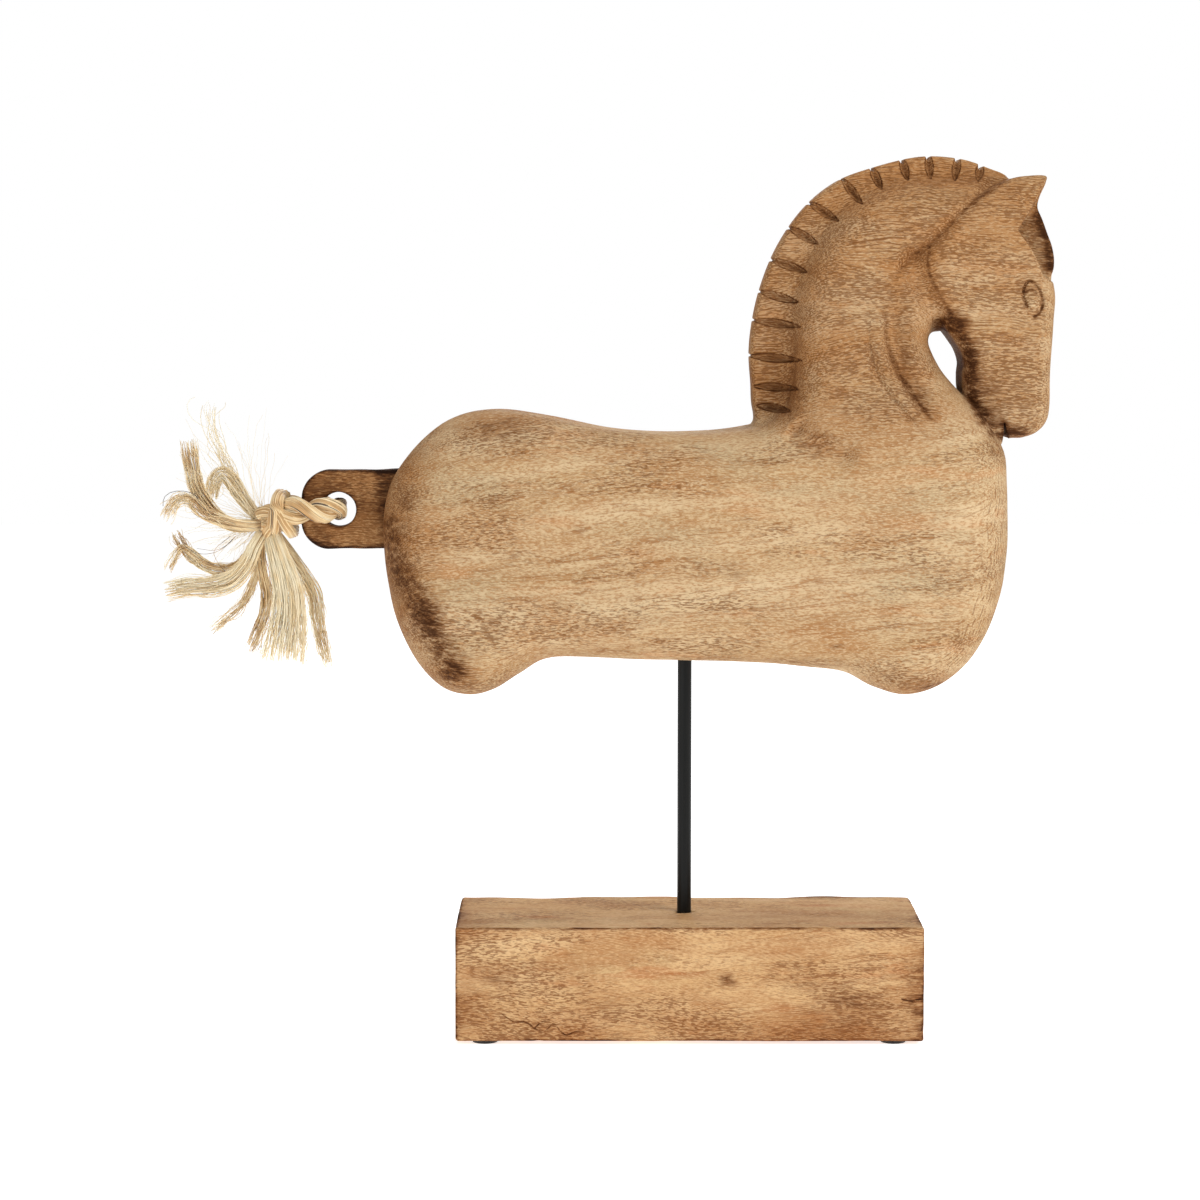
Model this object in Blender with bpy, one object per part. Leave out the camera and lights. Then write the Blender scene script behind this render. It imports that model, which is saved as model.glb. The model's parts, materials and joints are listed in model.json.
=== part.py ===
"""Carved wooden horse torso on a rod and block stand, with a frayed rope tail.

Units are metres, with +Z up. The origin is on the table, under the middle of the object.
The horse faces +X and is the same on both sides of the XZ plane.
Outlines are in millimetres, in the horse's own frame: x from the rod's axis, z from the table.
"""

import math

import bmesh
import bpy
from mathutils import Matrix, Vector

MM = 0.001
GAP = 0.3 * MM

# Stand
ROD_X = 3 * MM
ROD_RADIUS = 4 * MM
STUD_RADIUS = 3 * MM
BASE_CENTRE_X = ROD_X + 2 * MM
BASE_SIZE = Vector((263, 100, 65)) * MM
BASE_BEVEL = 1.2 * MM
PAD_RADIUS = 7 * MM
PAD_HEIGHT = 1.5 * MM
PAD_INSET_X = 16.5 * MM
PAD_INSET_Y = 10 * MM
BASE_TOP = PAD_HEIGHT + GAP + BASE_SIZE.z
ROD_BORE_DEPTH = 40 * MM
COUNTERBORE_RADIUS = 11 * MM
COUNTERBORE_DEPTH = 14 * MM
WASHER_RADIUS = 6 * MM
WASHER_THICKNESS = 1.6 * MM
NUT_ACROSS_FLATS = 10 * MM
NUT_HEIGHT = 5 * MM

# Horse
BELLY_Z = 214.5 * MM
SPOT_FACE_RADIUS = 6.5 * MM
INSERT_RADIUS = 5 * MM
INSERT_LENGTH = 28 * MM
TORSO_HALF = 46
HEAD_HALF = 29
MANE_HALF = 13
NECK_SLIMNESS = 0.68
NECK_SLIM_FROM = 300 * MM
NECK_SLIM_TO = 440 * MM
VOXEL = 2.4 * MM
HORSE_DECIMATE = 0.045

# Tail, measured from the middle of the hole in the tab
TAIL_X = ROD_X - 196 * MM
TAIL_Z = 298 * MM
TAB_HOLE_RADIUS = 9.5 * MM
TAB_HALF_THICKNESS = 7 * MM
TAB_TENON_LENGTH = 24 * MM
ROPE_RADIUS = 5.8 * MM
KNOT_CENTRE = Vector((-38.5, 0, -4)) * MM
KNOT_HALF_WIDTH = 17.6 * MM
KNOT_HALF_HEIGHT = 11.6 * MM
KNOT_LEAN = 1.2 * MM
KNOT_TUBE_RADIUS = 3.6 * MM
KNOT_POINTS = 24

# The closed outlines below run clockwise from the upper left.
TORSO = [
    (-171, 285), (-166.5, 312), (-152.5, 333), (-134, 348.5), (-110, 354.5), (-80, 351),
    (-45, 344), (-5, 341.5), (30, 343.5), (80, 352), (130, 350), (163, 338), (176.5, 318),
    (180.3, 292), (177.5, 256), (166.5, 224), (149, 203), (126, 194.6), (106, 199.5),
    (88, 208.5), (60, 211), (15, 213.2), (-40, 214.8), (-76, 215), (-93, 206.5),
    (-108, 197), (-123, 193), (-139, 198), (-154, 216), (-166, 246),
]
NECK = [
    (58, 335), (58.5, 370), (60, 406), (64, 430), (74, 453), (90, 471), (112, 481),
    (140, 485), (166, 482), (174, 466), (168, 442), (162, 420), (154, 404.5),
    (145, 399), (138.6, 397.6), (136.4, 393), (138.6, 386), (143.2, 377.5), (149, 370),
    (156, 362), (168, 347), (174, 325), (150, 300), (90, 305),
]
MANE = [
    (39, 352), (37, 370), (36, 387), (38, 406), (43, 426), (52, 447), (66, 467), (84, 482),
    (104, 490), (130, 496), (152, 495), (168, 490), (180, 483), (166, 468),
    (130, 468), (94, 450), (78, 420), (74, 380), (72, 335), (50, 336),
]
HEAD = [
    (134, 440), (147, 460), (163, 473), (179, 479), (190, 472), (196, 456),
    (201.5, 438), (205.8, 420), (205.3, 404), (204, 376), (204.2, 357), (202.4, 348),
    (197, 342), (189, 339), (181.5, 338.4), (175.5, 334.6), (168.5, 339.5), (162, 351),
    (155.5, 364), (154.6, 374), (155.2, 381), (153, 388.3), (149, 394.5), (143, 404), (137, 424),
]
EAR = [
    (148, 459), (164, 474), (177, 482), (189, 484.5), (200.5, 483.5), (196, 471),
    (200, 461), (204.5, 447), (206, 438), (204.5, 430), (196, 426), (176, 440),
]
TAB = [
    (25, -21.5), (25, 22.5), (-6, 22.5), (-16.5, 18), (-21, 8), (-21, -8),
    (-16.5, -18), (-6, -22.5),
]

# Half of the rope's loop. The other half is its mirror image across the XZ plane.
ROPE_HALF = [
    (-44.5, -6.1, -6), (-38.5, -6.4, -4), (-34.5, -7.2, -2.5), (-31, -9.8, -1.2), (-27, -12.7, -0.3),
    (-21, -13.8, 0), (-13, -13.9, 0), (-7, -12.9, 0), (-2.6, -9.6, 0), (-0.6, -4.6, 0),
]
# Each bundle of fibres: its radii at the root, middle and tip, then its route.
TUFTS = {
    "tuft_up_thick": ((2.3, 4.4, 4.4), [
        (-47.6, -3.6, -3), (-58, -4, -2), (-68, -5, 1.5), (-77, -6, 12), (-82, -7, 26), (-84.5, -7, 44),
    ]),
    "tuft_curl": ((2.2, 3.5, 2.5), [
        (-47.6, 3.8, -2.6), (-56, 7, 8), (-62, 9, 18), (-69, 10, 17), (-74, 11, 8),
    ]),
    "tuft_wisp": ((2.0, 2.4, 1.2), [(-47.6, 9.4, -3), (-58, 15, 16), (-68, 18, 38), (-73, 18, 58)]),
    "tuft_left": ((2.3, 4.5, 2.5), [
        (-47.6, -9, -4), (-62, -15, -4), (-76, -19, -2), (-84, -20, 6), (-93, -20, -1),
    ]),
    "tuft_loop": ((2.2, 3.2, 2.5), [
        (-47.6, 3.4, -8.6), (-62, 4, -13), (-80, 3, -21), (-92, 2, -18), (-95, 2, -30),
    ]),
    "tuft_broad_left": ((2.6, 6.5, 6.5), [
        (-48, -8.7, -10.5), (-54, -13, -26), (-62, -15, -38), (-76, -16, -44), (-97, -16, -46),
    ]),
    "tuft_thin": ((1.8, 2.6, 1.6), [(-48, 9.2, -9), (-52, 15, -32), (-58, 18, -50), (-74, 20, -72)]),
    "tuft_grey": ((2.2, 4, 4.5), [
        (-43, 6.2, -21.5), (-43, 11, -36), (-42, 13, -52), (-48, 13, -74), (-51, 13, -84),
    ]),
    "tuft_broad_down": ((3, 8, 9), [
        (-41, -5.2, -21.5), (-36, -9, -36), (-32, -10, -52), (-31, -10, -72), (-32, -10, -88),
    ]),
    "tuft_right": ((2.0, 3.6, 2.4), [
        (-35, 2.5, -21.5), (-26, 5, -36), (-14, 7, -50), (-9, 8, -66), (-5, 8, -92),
    ]),
}


def clear_scene():
    for obj in list(bpy.data.objects):
        bpy.data.objects.remove(obj, do_unlink=True)


def material(name, colour, roughness, metallic=0.0):
    made = bpy.data.materials.new(name)
    made.use_nodes = True
    shader = made.node_tree.nodes["Principled BSDF"]
    shader.inputs["Base Color"].default_value = (*colour, 1)
    shader.inputs["Roughness"].default_value = roughness
    shader.inputs["Metallic"].default_value = metallic
    return made


def object_of(name, data, mat, location=(0, 0, 0)):
    obj = bpy.data.objects.new(name, data)
    obj.location = location
    bpy.context.scene.collection.objects.link(obj)
    if mat:
        data.materials.append(mat)
    return obj


def mesh_object(name, bm, mat, location=(0, 0, 0)):
    mesh = bpy.data.meshes.new(name)
    bm.to_mesh(mesh)
    bm.free()
    mesh.shade_smooth()
    mesh.set_sharp_from_angle(angle=math.radians(35))
    return object_of(name, mesh, mat, location)


def as_guide(obj):
    obj.hide_render = True
    obj.display_type = "WIRE"
    return obj


def subtract(obj, cutter):
    cut = obj.modifiers.new(cutter.name, "BOOLEAN")
    cut.operation = "DIFFERENCE"
    cut.object = as_guide(cutter)


def add_cylinder(bm, radius, low, high, segments=32):
    """A cylinder on the Z axis from low to high."""
    place = Matrix.Translation((0, 0, (low + high) / 2))
    bmesh.ops.create_cone(
        bm, cap_ends=True, segments=segments, radius1=radius, radius2=radius,
        depth=high - low, matrix=place,
    )


def cylinder(name, radius, low, high, mat=None, location=(0, 0, 0), segments=32):
    bm = bmesh.new()
    add_cylinder(bm, radius, low, high, segments)
    return mesh_object(name, bm, mat, location)


def box(name, low, high, mat=None, location=(0, 0, 0)):
    low, high = Vector(low), Vector(high)
    bm = bmesh.new()
    bmesh.ops.create_cube(bm, size=1)
    bmesh.ops.scale(bm, vec=high - low, verts=bm.verts)
    bmesh.ops.translate(bm, vec=(low + high) / 2, verts=bm.verts)
    return mesh_object(name, bm, mat, location)


def turned(name, profile, mat, location=(0, 0, 0), segments=32):
    """A closed solid turned about Z. The profile is (radius, z), from the axis to the axis."""
    bm = bmesh.new()
    verts = [bm.verts.new((r, 0, z)) for r, z in profile]
    for a, b in zip(verts, verts[1:]):
        bm.edges.new((a, b))
    bmesh.ops.spin(
        bm, geom=bm.verts[:] + bm.edges[:], cent=(0, 0, 0), axis=(0, 0, 1),
        angle=math.tau, steps=segments, use_merge=True,
    )
    bmesh.ops.remove_doubles(bm, verts=bm.verts, dist=1e-6)
    bmesh.ops.recalc_face_normals(bm, faces=bm.faces)
    return mesh_object(name, bm, mat, location)


def ring(name, inner, outer, low, high, mat, location=(0, 0, 0), sides=32):
    """A flat ring. Its outside has the given number of sides, so that 6 makes a hexagon."""
    bm = bmesh.new()
    add_cylinder(bm, outer, low, high, sides)
    obj = mesh_object(name, bm, mat, location)
    subtract(obj, cylinder(name + "_bore", inner, low - 2 * MM, high + 2 * MM, location=location))
    return obj


def slab(outline, half_thickness, edge_radius, y=0.0):
    """A plank sawn to a smooth closed outline, its edges rounded, standing in the XZ plane."""
    curve = bpy.data.curves.new("slab", "CURVE")
    curve.dimensions = "2D"
    curve.fill_mode = "BOTH"
    curve.resolution_u = 5
    curve.extrude = (half_thickness - edge_radius) * MM
    curve.bevel_depth = edge_radius * MM
    curve.bevel_resolution = 4
    curve.offset = -edge_radius * MM
    spline = curve.splines.new("BEZIER")
    spline.bezier_points.add(len(outline) - 1)
    spline.use_cyclic_u = True
    for point, (x, z) in zip(spline.bezier_points, outline):
        point.co = (x * MM, z * MM, 0)
        point.handle_left_type = point.handle_right_type = "AUTO"
    guide = as_guide(object_of("slab", curve, None))
    guide.rotation_euler.x = math.pi / 2
    guide.location.y = y * MM
    return guide


def add_evaluated(bm, obj):
    """Adds the object's evaluated mesh to bm and removes the object."""
    bpy.context.view_layer.update()
    evaluated = obj.evaluated_get(bpy.context.evaluated_depsgraph_get())
    mesh = evaluated.to_mesh()
    mesh.transform(evaluated.matrix_world)
    bm.from_mesh(mesh)
    evaluated.to_mesh_clear()
    bpy.data.objects.remove(obj, do_unlink=True)


def slim_neck(bm):
    """Thins the neck from the shoulders up to the head."""
    for vert in bm.verts:
        up = (vert.co.z - NECK_SLIM_FROM) / (NECK_SLIM_TO - NECK_SLIM_FROM)
        up = min(max(up, 0), 1)
        vert.co.y *= 1 + (NECK_SLIMNESS - 1) * up * up * (3 - 2 * up)


def horse_body(wood):
    bm = bmesh.new()
    add_evaluated(bm, slab(NECK, TORSO_HALF, 22))
    slim_neck(bm)
    add_evaluated(bm, slab(TORSO, TORSO_HALF, 25))
    add_evaluated(bm, slab(MANE, MANE_HALF, 5))
    add_evaluated(bm, slab(HEAD, HEAD_HALF, 12))
    for side in (-1, 1):
        add_evaluated(bm, slab(EAR, 9, 4, side * 20))
    body = mesh_object("horse_body", bm, wood, (ROD_X, 0, 0))
    remesh = body.modifiers.new("one_block", "REMESH")
    remesh.mode = "VOXEL"
    remesh.voxel_size = VOXEL
    soften = body.modifiers.new("rasp", "SMOOTH")
    soften.factor = 0.5
    soften.iterations = 6
    thin = body.modifiers.new("fewer_faces", "DECIMATE")
    thin.ratio = HORSE_DECIMATE
    thin.use_symmetry = True
    thin.symmetry_axis = "Y"
    cut_horse(body)
    return body


def cut_horse(body):
    spot = cylinder("spot_face", SPOT_FACE_RADIUS, BELLY_Z - 9 * MM, BELLY_Z, location=(ROD_X, 0, 0))
    subtract(body, spot)
    bore = cylinder(
        "insert_bore", INSERT_RADIUS + GAP, BELLY_Z - 5 * MM, BELLY_Z + INSERT_LENGTH + 4 * MM,
        location=(ROD_X, 0, 0),
    )
    subtract(body, bore)
    half_height = 22 * MM + GAP
    mortise = box(
        "tail_mortise",
        (-20 * MM, -TAB_HALF_THICKNESS - GAP, -half_height),
        (25 * MM + TAB_TENON_LENGTH + GAP, TAB_HALF_THICKNESS + GAP, half_height + GAP),
        location=(TAIL_X, 0, TAIL_Z),
    )
    subtract(body, mortise)
    for side in (-1, 1):
        hollow = bmesh.new()
        bmesh.ops.create_uvsphere(hollow, u_segments=16, v_segments=12, radius=1)
        bmesh.ops.scale(hollow, vec=Vector((10, 9, 23)) * MM, verts=hollow.verts)
        name = "ear_hollow_right" if side < 0 else "ear_hollow_left"
        cutter = mesh_object(name, hollow, None, (ROD_X + 204 * MM, side * 26 * MM, 453 * MM))
        cutter.rotation_euler = (0, math.radians(-14), 0)
        subtract(body, cutter)
    lips = box("mouth_cut", (-0.9 * MM, -40 * MM, -12 * MM), (0.9 * MM, 40 * MM, 10 * MM))
    lips.location = (ROD_X + 179.4 * MM, 0, 339 * MM)
    lips.rotation_euler.y = math.radians(-12)
    subtract(body, lips)


def tail_tab(wood):
    """The tongue that is glued into the rump, with the hole for the rope."""
    outline = [(25 + TAB_TENON_LENGTH / MM, -21.5), (25 + TAB_TENON_LENGTH / MM, 21.5), *TAB[1:], TAB[0]]
    bm = bmesh.new()
    face = bm.faces.new([bm.verts.new((x * MM, -TAB_HALF_THICKNESS, z * MM)) for x, z in outline])
    extruded = bmesh.ops.extrude_face_region(bm, geom=[face])["geom"]
    moved = [item for item in extruded if isinstance(item, bmesh.types.BMVert)]
    bmesh.ops.translate(bm, vec=(0, 2 * TAB_HALF_THICKNESS, 0), verts=moved)
    bmesh.ops.recalc_face_normals(bm, faces=bm.faces)
    tab = mesh_object("tail_tab", bm, wood, (TAIL_X, 0, TAIL_Z))
    ease = tab.modifiers.new("eased_edges", "BEVEL")
    ease.width = 1.2 * MM
    ease.segments = 2
    hole = cylinder("rope_hole", TAB_HOLE_RADIUS, -20 * MM, 20 * MM, segments=28)
    hole.location = (TAIL_X, 0, TAIL_Z)
    hole.rotation_euler.x = math.pi / 2
    subtract(tab, hole)
    return tab


def smooth_route(points, per_span):
    """Points on the Catmull-Rom curve through the given ones."""
    points = [Vector(p) for p in points]
    ends = [2 * points[0] - points[1], *points, 2 * points[-1] - points[-2]]
    route = []
    for a, b, c, d in zip(ends, ends[1:], ends[2:], ends[3:]):
        for step in range(per_span):
            t = step / per_span
            route.append(
                0.5 * (2 * b + (c - a) * t + (2 * a - 5 * b + 4 * c - d) * t ** 2
                       + (3 * b - a - 3 * c + d) * t ** 3)
            )
    route.append(points[-1])
    return route


def tube(name, points, radii, mat, resolution=2, cyclic=False):
    """A closed round tube through points in metres, with a radius at each one."""
    curve = bpy.data.curves.new(name, "CURVE")
    curve.dimensions = "3D"
    curve.bevel_depth = 1
    curve.bevel_resolution = resolution
    curve.use_fill_caps = not cyclic
    spline = curve.splines.new("POLY")
    spline.points.add(len(points) - 1)
    spline.use_cyclic_u = cyclic
    for point, place, radius in zip(spline.points, points, radii):
        point.co = (*place, 1)
        point.radius = radius
    return object_of(name, curve, mat, (TAIL_X, 0, TAIL_Z))


def rope_tail(sisal):
    half = [Vector(p) * MM for p in ROPE_HALF]
    other = [Vector((p.x, -p.y, p.z)) for p in reversed(half)]
    route = smooth_route(half + other, 2)
    tube("tail_rope", route, [ROPE_RADIUS] * len(route), sisal, 3)

    wrap = []
    for step in range(KNOT_POINTS):
        angle = math.tau * step / KNOT_POINTS
        across = math.copysign(abs(math.cos(angle)) ** 0.75, math.cos(angle))
        up = math.copysign(abs(math.sin(angle)) ** 0.75, math.sin(angle))
        wrap.append(KNOT_CENTRE + Vector((KNOT_LEAN * up, KNOT_HALF_WIDTH * across, KNOT_HALF_HEIGHT * up)))
    tube("tail_knot", wrap, [KNOT_TUBE_RADIUS] * KNOT_POINTS, sisal, 2, cyclic=True)

    for name, ((root, middle, tip), points) in TUFTS.items():
        route = smooth_route([Vector(p) * MM for p in points], 3)
        last = len(route) - 1
        radii = []
        for index in range(len(route)):
            along = index / last
            if along < 0.5:
                radii.append((root + (middle - root) * 2 * along) * MM)
            else:
                radii.append((middle + (tip - middle) * (2 * along - 1)) * MM)
        tube(name, route, radii, sisal)


def stand(wood, steel, zinc, felt):
    low = PAD_HEIGHT + GAP
    half = BASE_SIZE / 2
    centre = (BASE_CENTRE_X, 0, 0)
    base = box("base_block", (-half.x, -half.y, low), (half.x, half.y, BASE_TOP), wood, centre)
    ease = base.modifiers.new("eased_edges", "BEVEL")
    ease.width = BASE_BEVEL
    ease.segments = 2
    on_rod = (ROD_X, 0, 0)
    bore_floor = BASE_TOP - ROD_BORE_DEPTH
    bore = cylinder("rod_bore", ROD_RADIUS + GAP, bore_floor, BASE_TOP + 9 * MM, location=on_rod)
    subtract(base, bore)
    subtract(base, cylinder("stud_bore", STUD_RADIUS + GAP, 0, BASE_TOP, location=on_rod))
    seat = low + COUNTERBORE_DEPTH
    subtract(base, cylinder("nut_recess", COUNTERBORE_RADIUS, -9 * MM, seat, location=on_rod))

    for index in range(4):
        along = (half.x - PAD_INSET_X) * (1 if index % 2 else -1)
        across = (half.y - PAD_INSET_Y) * (1 if index > 1 else -1)
        place = (BASE_CENTRE_X + along, across, 0)
        cylinder(f"foot_pad_{index + 1}", PAD_RADIUS, 0, PAD_HEIGHT, felt, place)

    shoulder = BELLY_Z - GAP - WASHER_THICKNESS - GAP
    foot = bore_floor + GAP
    washer_top = seat - GAP
    nut_top = washer_top - WASHER_THICKNESS - GAP
    stud_foot = nut_top - NUT_HEIGHT - 2 * MM
    turned("stand_rod", [
        (0, stud_foot), (STUD_RADIUS, stud_foot), (STUD_RADIUS, foot), (ROD_RADIUS, foot),
        (ROD_RADIUS, shoulder), (STUD_RADIUS, shoulder), (STUD_RADIUS, BELLY_Z + INSERT_LENGTH),
        (0, BELLY_Z + INSERT_LENGTH),
    ], steel, on_rod)
    hole = STUD_RADIUS + GAP
    ring("base_washer", hole, WASHER_RADIUS, washer_top - WASHER_THICKNESS, washer_top, zinc, on_rod)
    corner = NUT_ACROSS_FLATS / math.sqrt(3)
    ring("base_nut", hole, corner, nut_top - NUT_HEIGHT, nut_top, zinc, on_rod, sides=6)
    under = BELLY_Z - GAP
    ring("belly_washer", hole, WASHER_RADIUS, under - WASHER_THICKNESS, under, steel, on_rod)
    ring("belly_insert", hole, INSERT_RADIUS, BELLY_Z + GAP, BELLY_Z + INSERT_LENGTH, zinc, on_rod)


def main():
    clear_scene()
    pale_wood = material("mango_wood", (0.48, 0.31, 0.16), 0.55)
    base_wood = material("base_wood", (0.42, 0.27, 0.15), 0.6)
    dark_wood = material("tail_tab_wood", (0.26, 0.13, 0.06), 0.5)
    steel = material("black_steel", (0.02, 0.02, 0.02), 0.4, 0.6)
    zinc = material("zinc_plated_steel", (0.6, 0.6, 0.58), 0.35, 1.0)
    felt = material("black_felt", (0.03, 0.03, 0.03), 0.95)
    sisal = material("sisal", (0.62, 0.47, 0.27), 0.65)
    stand(base_wood, steel, zinc, felt)
    horse_body(pale_wood)
    tail_tab(dark_wood)
    rope_tail(sisal)


main()
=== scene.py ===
import json
import math

import bmesh
import bpy
import numpy as np
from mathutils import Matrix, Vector


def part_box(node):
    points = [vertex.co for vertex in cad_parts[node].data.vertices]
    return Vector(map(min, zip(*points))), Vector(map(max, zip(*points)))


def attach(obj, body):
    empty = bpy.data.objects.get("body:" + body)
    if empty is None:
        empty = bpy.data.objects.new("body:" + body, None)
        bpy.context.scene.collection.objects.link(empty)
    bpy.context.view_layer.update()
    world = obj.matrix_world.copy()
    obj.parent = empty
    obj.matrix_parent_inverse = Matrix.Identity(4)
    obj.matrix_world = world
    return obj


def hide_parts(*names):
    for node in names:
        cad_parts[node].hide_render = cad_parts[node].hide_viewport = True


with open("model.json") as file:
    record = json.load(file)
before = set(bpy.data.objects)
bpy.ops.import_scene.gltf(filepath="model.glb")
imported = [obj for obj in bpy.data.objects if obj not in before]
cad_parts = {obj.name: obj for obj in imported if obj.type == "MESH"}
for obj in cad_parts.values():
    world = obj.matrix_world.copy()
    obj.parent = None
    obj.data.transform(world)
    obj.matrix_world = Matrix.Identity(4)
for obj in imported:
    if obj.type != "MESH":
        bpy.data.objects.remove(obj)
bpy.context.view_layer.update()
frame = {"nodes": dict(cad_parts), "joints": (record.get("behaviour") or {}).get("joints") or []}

# A carved wooden horse on a steel rod and a wooden block, with a frayed rope for a tail.
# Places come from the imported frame. The horse's own outlines are in millimetres, with x
# measured from the rod's axis and z from the table, and they are the same on both sides.

MM = 0.001
JOINTS = {joint["name"]: joint for joint in frame["joints"]}
ROD_LOW, ROD_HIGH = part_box("stand_rod")
ROD_X = (ROD_LOW.x + ROD_HIGH.x) / 2
HOLE = Vector(JOINTS["tail_swing"]["pos_m"])


# ---------------------------------------------------------------- shader helpers
def rgb(red, green, blue):
    """A linear colour from 0 to 255 screen values."""
    line = []
    for value in (red, green, blue):
        v = value / 255
        line.append(v / 12.92 if v <= 0.04045 else ((v + 0.055) / 1.055) ** 2.4)
    return (*line, 1.0)


class Value:
    """A socket in a material. Signs between values and numbers add Math nodes."""

    def __init__(self, shader, socket):
        self.shader = shader
        self.socket = socket

    def __add__(self, other):
        return self.shader.math("ADD", self, other)

    def __sub__(self, other):
        return self.shader.math("SUBTRACT", self, other)

    def __rsub__(self, other):
        return self.shader.math("SUBTRACT", other, self)

    def __mul__(self, other):
        return self.shader.math("MULTIPLY", self, other)

    def clamped(self):
        """The same result, held between 0 and 1."""
        self.socket.node.use_clamp = True
        return self

    def folded(self):
        """Up and down between 0 and 0.5, once for each whole step of the value."""
        return self.shader.math("PINGPONG", self, 0.5)


class Shader:
    """A Principled material and short calls that add nodes to it."""

    def __init__(self, name, **sockets):
        self.material = bpy.data.materials.new(name)
        self.material.use_nodes = True
        self.tree = self.material.node_tree
        self.bsdf = self.tree.nodes["Principled BSDF"]
        self.set_bsdf(**sockets)
        self.here = self.node("TexCoord", "Object")

    def set(self, socket, value):
        if isinstance(value, Value):
            self.tree.links.new(value.socket, socket)
        else:
            socket.default_value = value

    def set_bsdf(self, **sockets):
        for socket, value in sockets.items():
            self.set(self.bsdf.inputs[socket.replace("_", " ")], value)

    def node(self, kind, output=0, inputs=None, **settings):
        node = self.tree.nodes.new("ShaderNode" + kind)
        for key, value in settings.items():
            setattr(node, key, value)
        for key, value in (inputs or {}).items():
            self.set(node.inputs[key], value)
        return Value(self, node.outputs[output])

    def math(self, operation, first, second):
        return self.node("Math", 0, {0: first, 1: second}, operation=operation)

    def noise(self, scale, detail=2.0, roughness=0.5, lean=0.0, start=None):
        """Noise with so many cells per metre along each axis, leaned about Y by some degrees."""
        rotation = (0, math.radians(lean), 0)
        turned = self.node("Mapping", 0, {"Vector": start or self.here, "Rotation": rotation})
        place = self.node("Mapping", 0, {"Vector": turned, "Scale": scale})
        inputs = {"Vector": place, "Scale": 1.0, "Detail": detail, "Roughness": roughness}
        return self.node("TexNoise", "Fac", inputs)

    def within(self, value, low, high, to_low=0.0, to_high=1.0):
        """Value carried smoothly from low..high to to_low..to_high, and held outside."""
        inputs = {"Value": value, "From Min": low, "From Max": high, "To Min": to_low, "To Max": to_high}
        return self.node("MapRange", 0, inputs, interpolation_type="SMOOTHSTEP")

    def mix(self, share, first, second):
        return self.node("Mix", 2, {0: share, 6: first, 7: second}, data_type="RGBA")

    def attribute(self, name):
        return self.node("Attribute", "Fac", attribute_name=name)

    def bump(self, height, distance, strength, **normal):
        return self.node("Bump", 0, {"Height": height, "Distance": distance, "Strength": strength, **normal})

    def finish(self, colour, roughness, normal):
        self.set_bsdf(Base_Color=colour, Roughness=roughness, Normal=normal)
        return self.material


# ---------------------------------------------------------------- mesh helpers
def link(name, data):
    obj = bpy.data.objects.new(name, data)
    bpy.context.scene.collection.objects.link(obj)
    return obj


def mesh_of(name, points, faces):
    mesh = bpy.data.meshes.new(name)
    mesh.from_pydata(np.asarray(points).tolist(), [], faces)
    mesh.update()
    return mesh


def points_of(mesh):
    points = np.empty(len(mesh.vertices) * 3, np.float32)
    mesh.vertices.foreach_get("co", points)
    return points.reshape(-1, 3).astype(float)


def set_points(mesh, points):
    mesh.vertices.foreach_set("co", np.asarray(points, np.float32).ravel())
    mesh.update()


def add_values(mesh, name, values):
    """Stores one number for each vertex, which a material reads as an attribute."""
    attribute = mesh.attributes.new(name, "FLOAT", "POINT")
    attribute.data.foreach_set("value", np.asarray(values, np.float32))


def ramp(value, low, high):
    t = np.clip((value - low) / (high - low), 0, 1)
    return t * t * (3 - 2 * t)


def bell(distance, width):
    return np.exp(-(distance / width) ** 2)


def spot(x, z, centre_x, centre_z, reach_x, reach_z):
    """1 at a centre, fading outwards to 0 as an ellipse."""
    return np.exp(-((x - centre_x) / reach_x) ** 2 - ((z - centre_z) / reach_z) ** 2)


def spots(rows, x, z):
    """The sum of many spots, from rows of a centre, two radii and a strength."""
    return sum(strength * spot(x, z, *ellipse) for *ellipse, strength in rows)


def waves(points, length, seed):
    """A smooth wandering value of about -1 to 1: a few plane waves in seeded directions."""
    rng = np.random.default_rng(seed)
    total = np.zeros(len(points))
    for _ in range(7):
        direction = rng.normal(size=3)
        direction *= rng.uniform(0.6, 1.5) * math.tau / (length * np.linalg.norm(direction))
        total += np.sin(points @ direction + rng.uniform(0, math.tau))
    return total / 3.2


# ---------------------------------------------------------------- horse
# Outlines are closed and run clockwise.
TORSO = [
    (-171, 285), (-166.5, 312), (-152.5, 333), (-134, 348.5), (-110, 354.5), (-80, 351),
    (-45, 344), (-5, 341.5), (30, 343.5), (80, 352), (130, 350), (163, 338), (176.5, 318),
    (180.3, 292), (177.5, 256), (166.5, 224), (149, 203), (126, 194.6), (106, 199.5),
    (88, 208.5), (60, 211), (15, 213.2), (-40, 214.8), (-76, 215), (-93, 206.5),
    (-108, 197), (-123, 193), (-139, 198), (-154, 216), (-166, 246),
]
NECK = [
    (58, 335), (58.5, 370), (60, 406), (64, 430), (74, 453), (90, 471), (112, 481),
    (140, 485), (166, 482), (174, 466), (168, 442), (162, 420), (154, 404.5),
    (145, 399), (138.6, 397.6), (136.4, 393), (138.6, 386), (143.2, 377.5), (149, 370),
    (156, 362), (168, 347), (174, 325), (150, 300), (90, 305),
]
MANE = [
    (39, 352), (37, 370), (36, 387), (38, 406), (43, 426), (52, 447), (66, 467), (84, 482),
    (104, 490), (130, 496), (152, 495), (168, 490), (180, 483), (166, 468),
    (130, 468), (94, 450), (78, 420), (74, 380), (72, 335), (50, 336),
]
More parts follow.
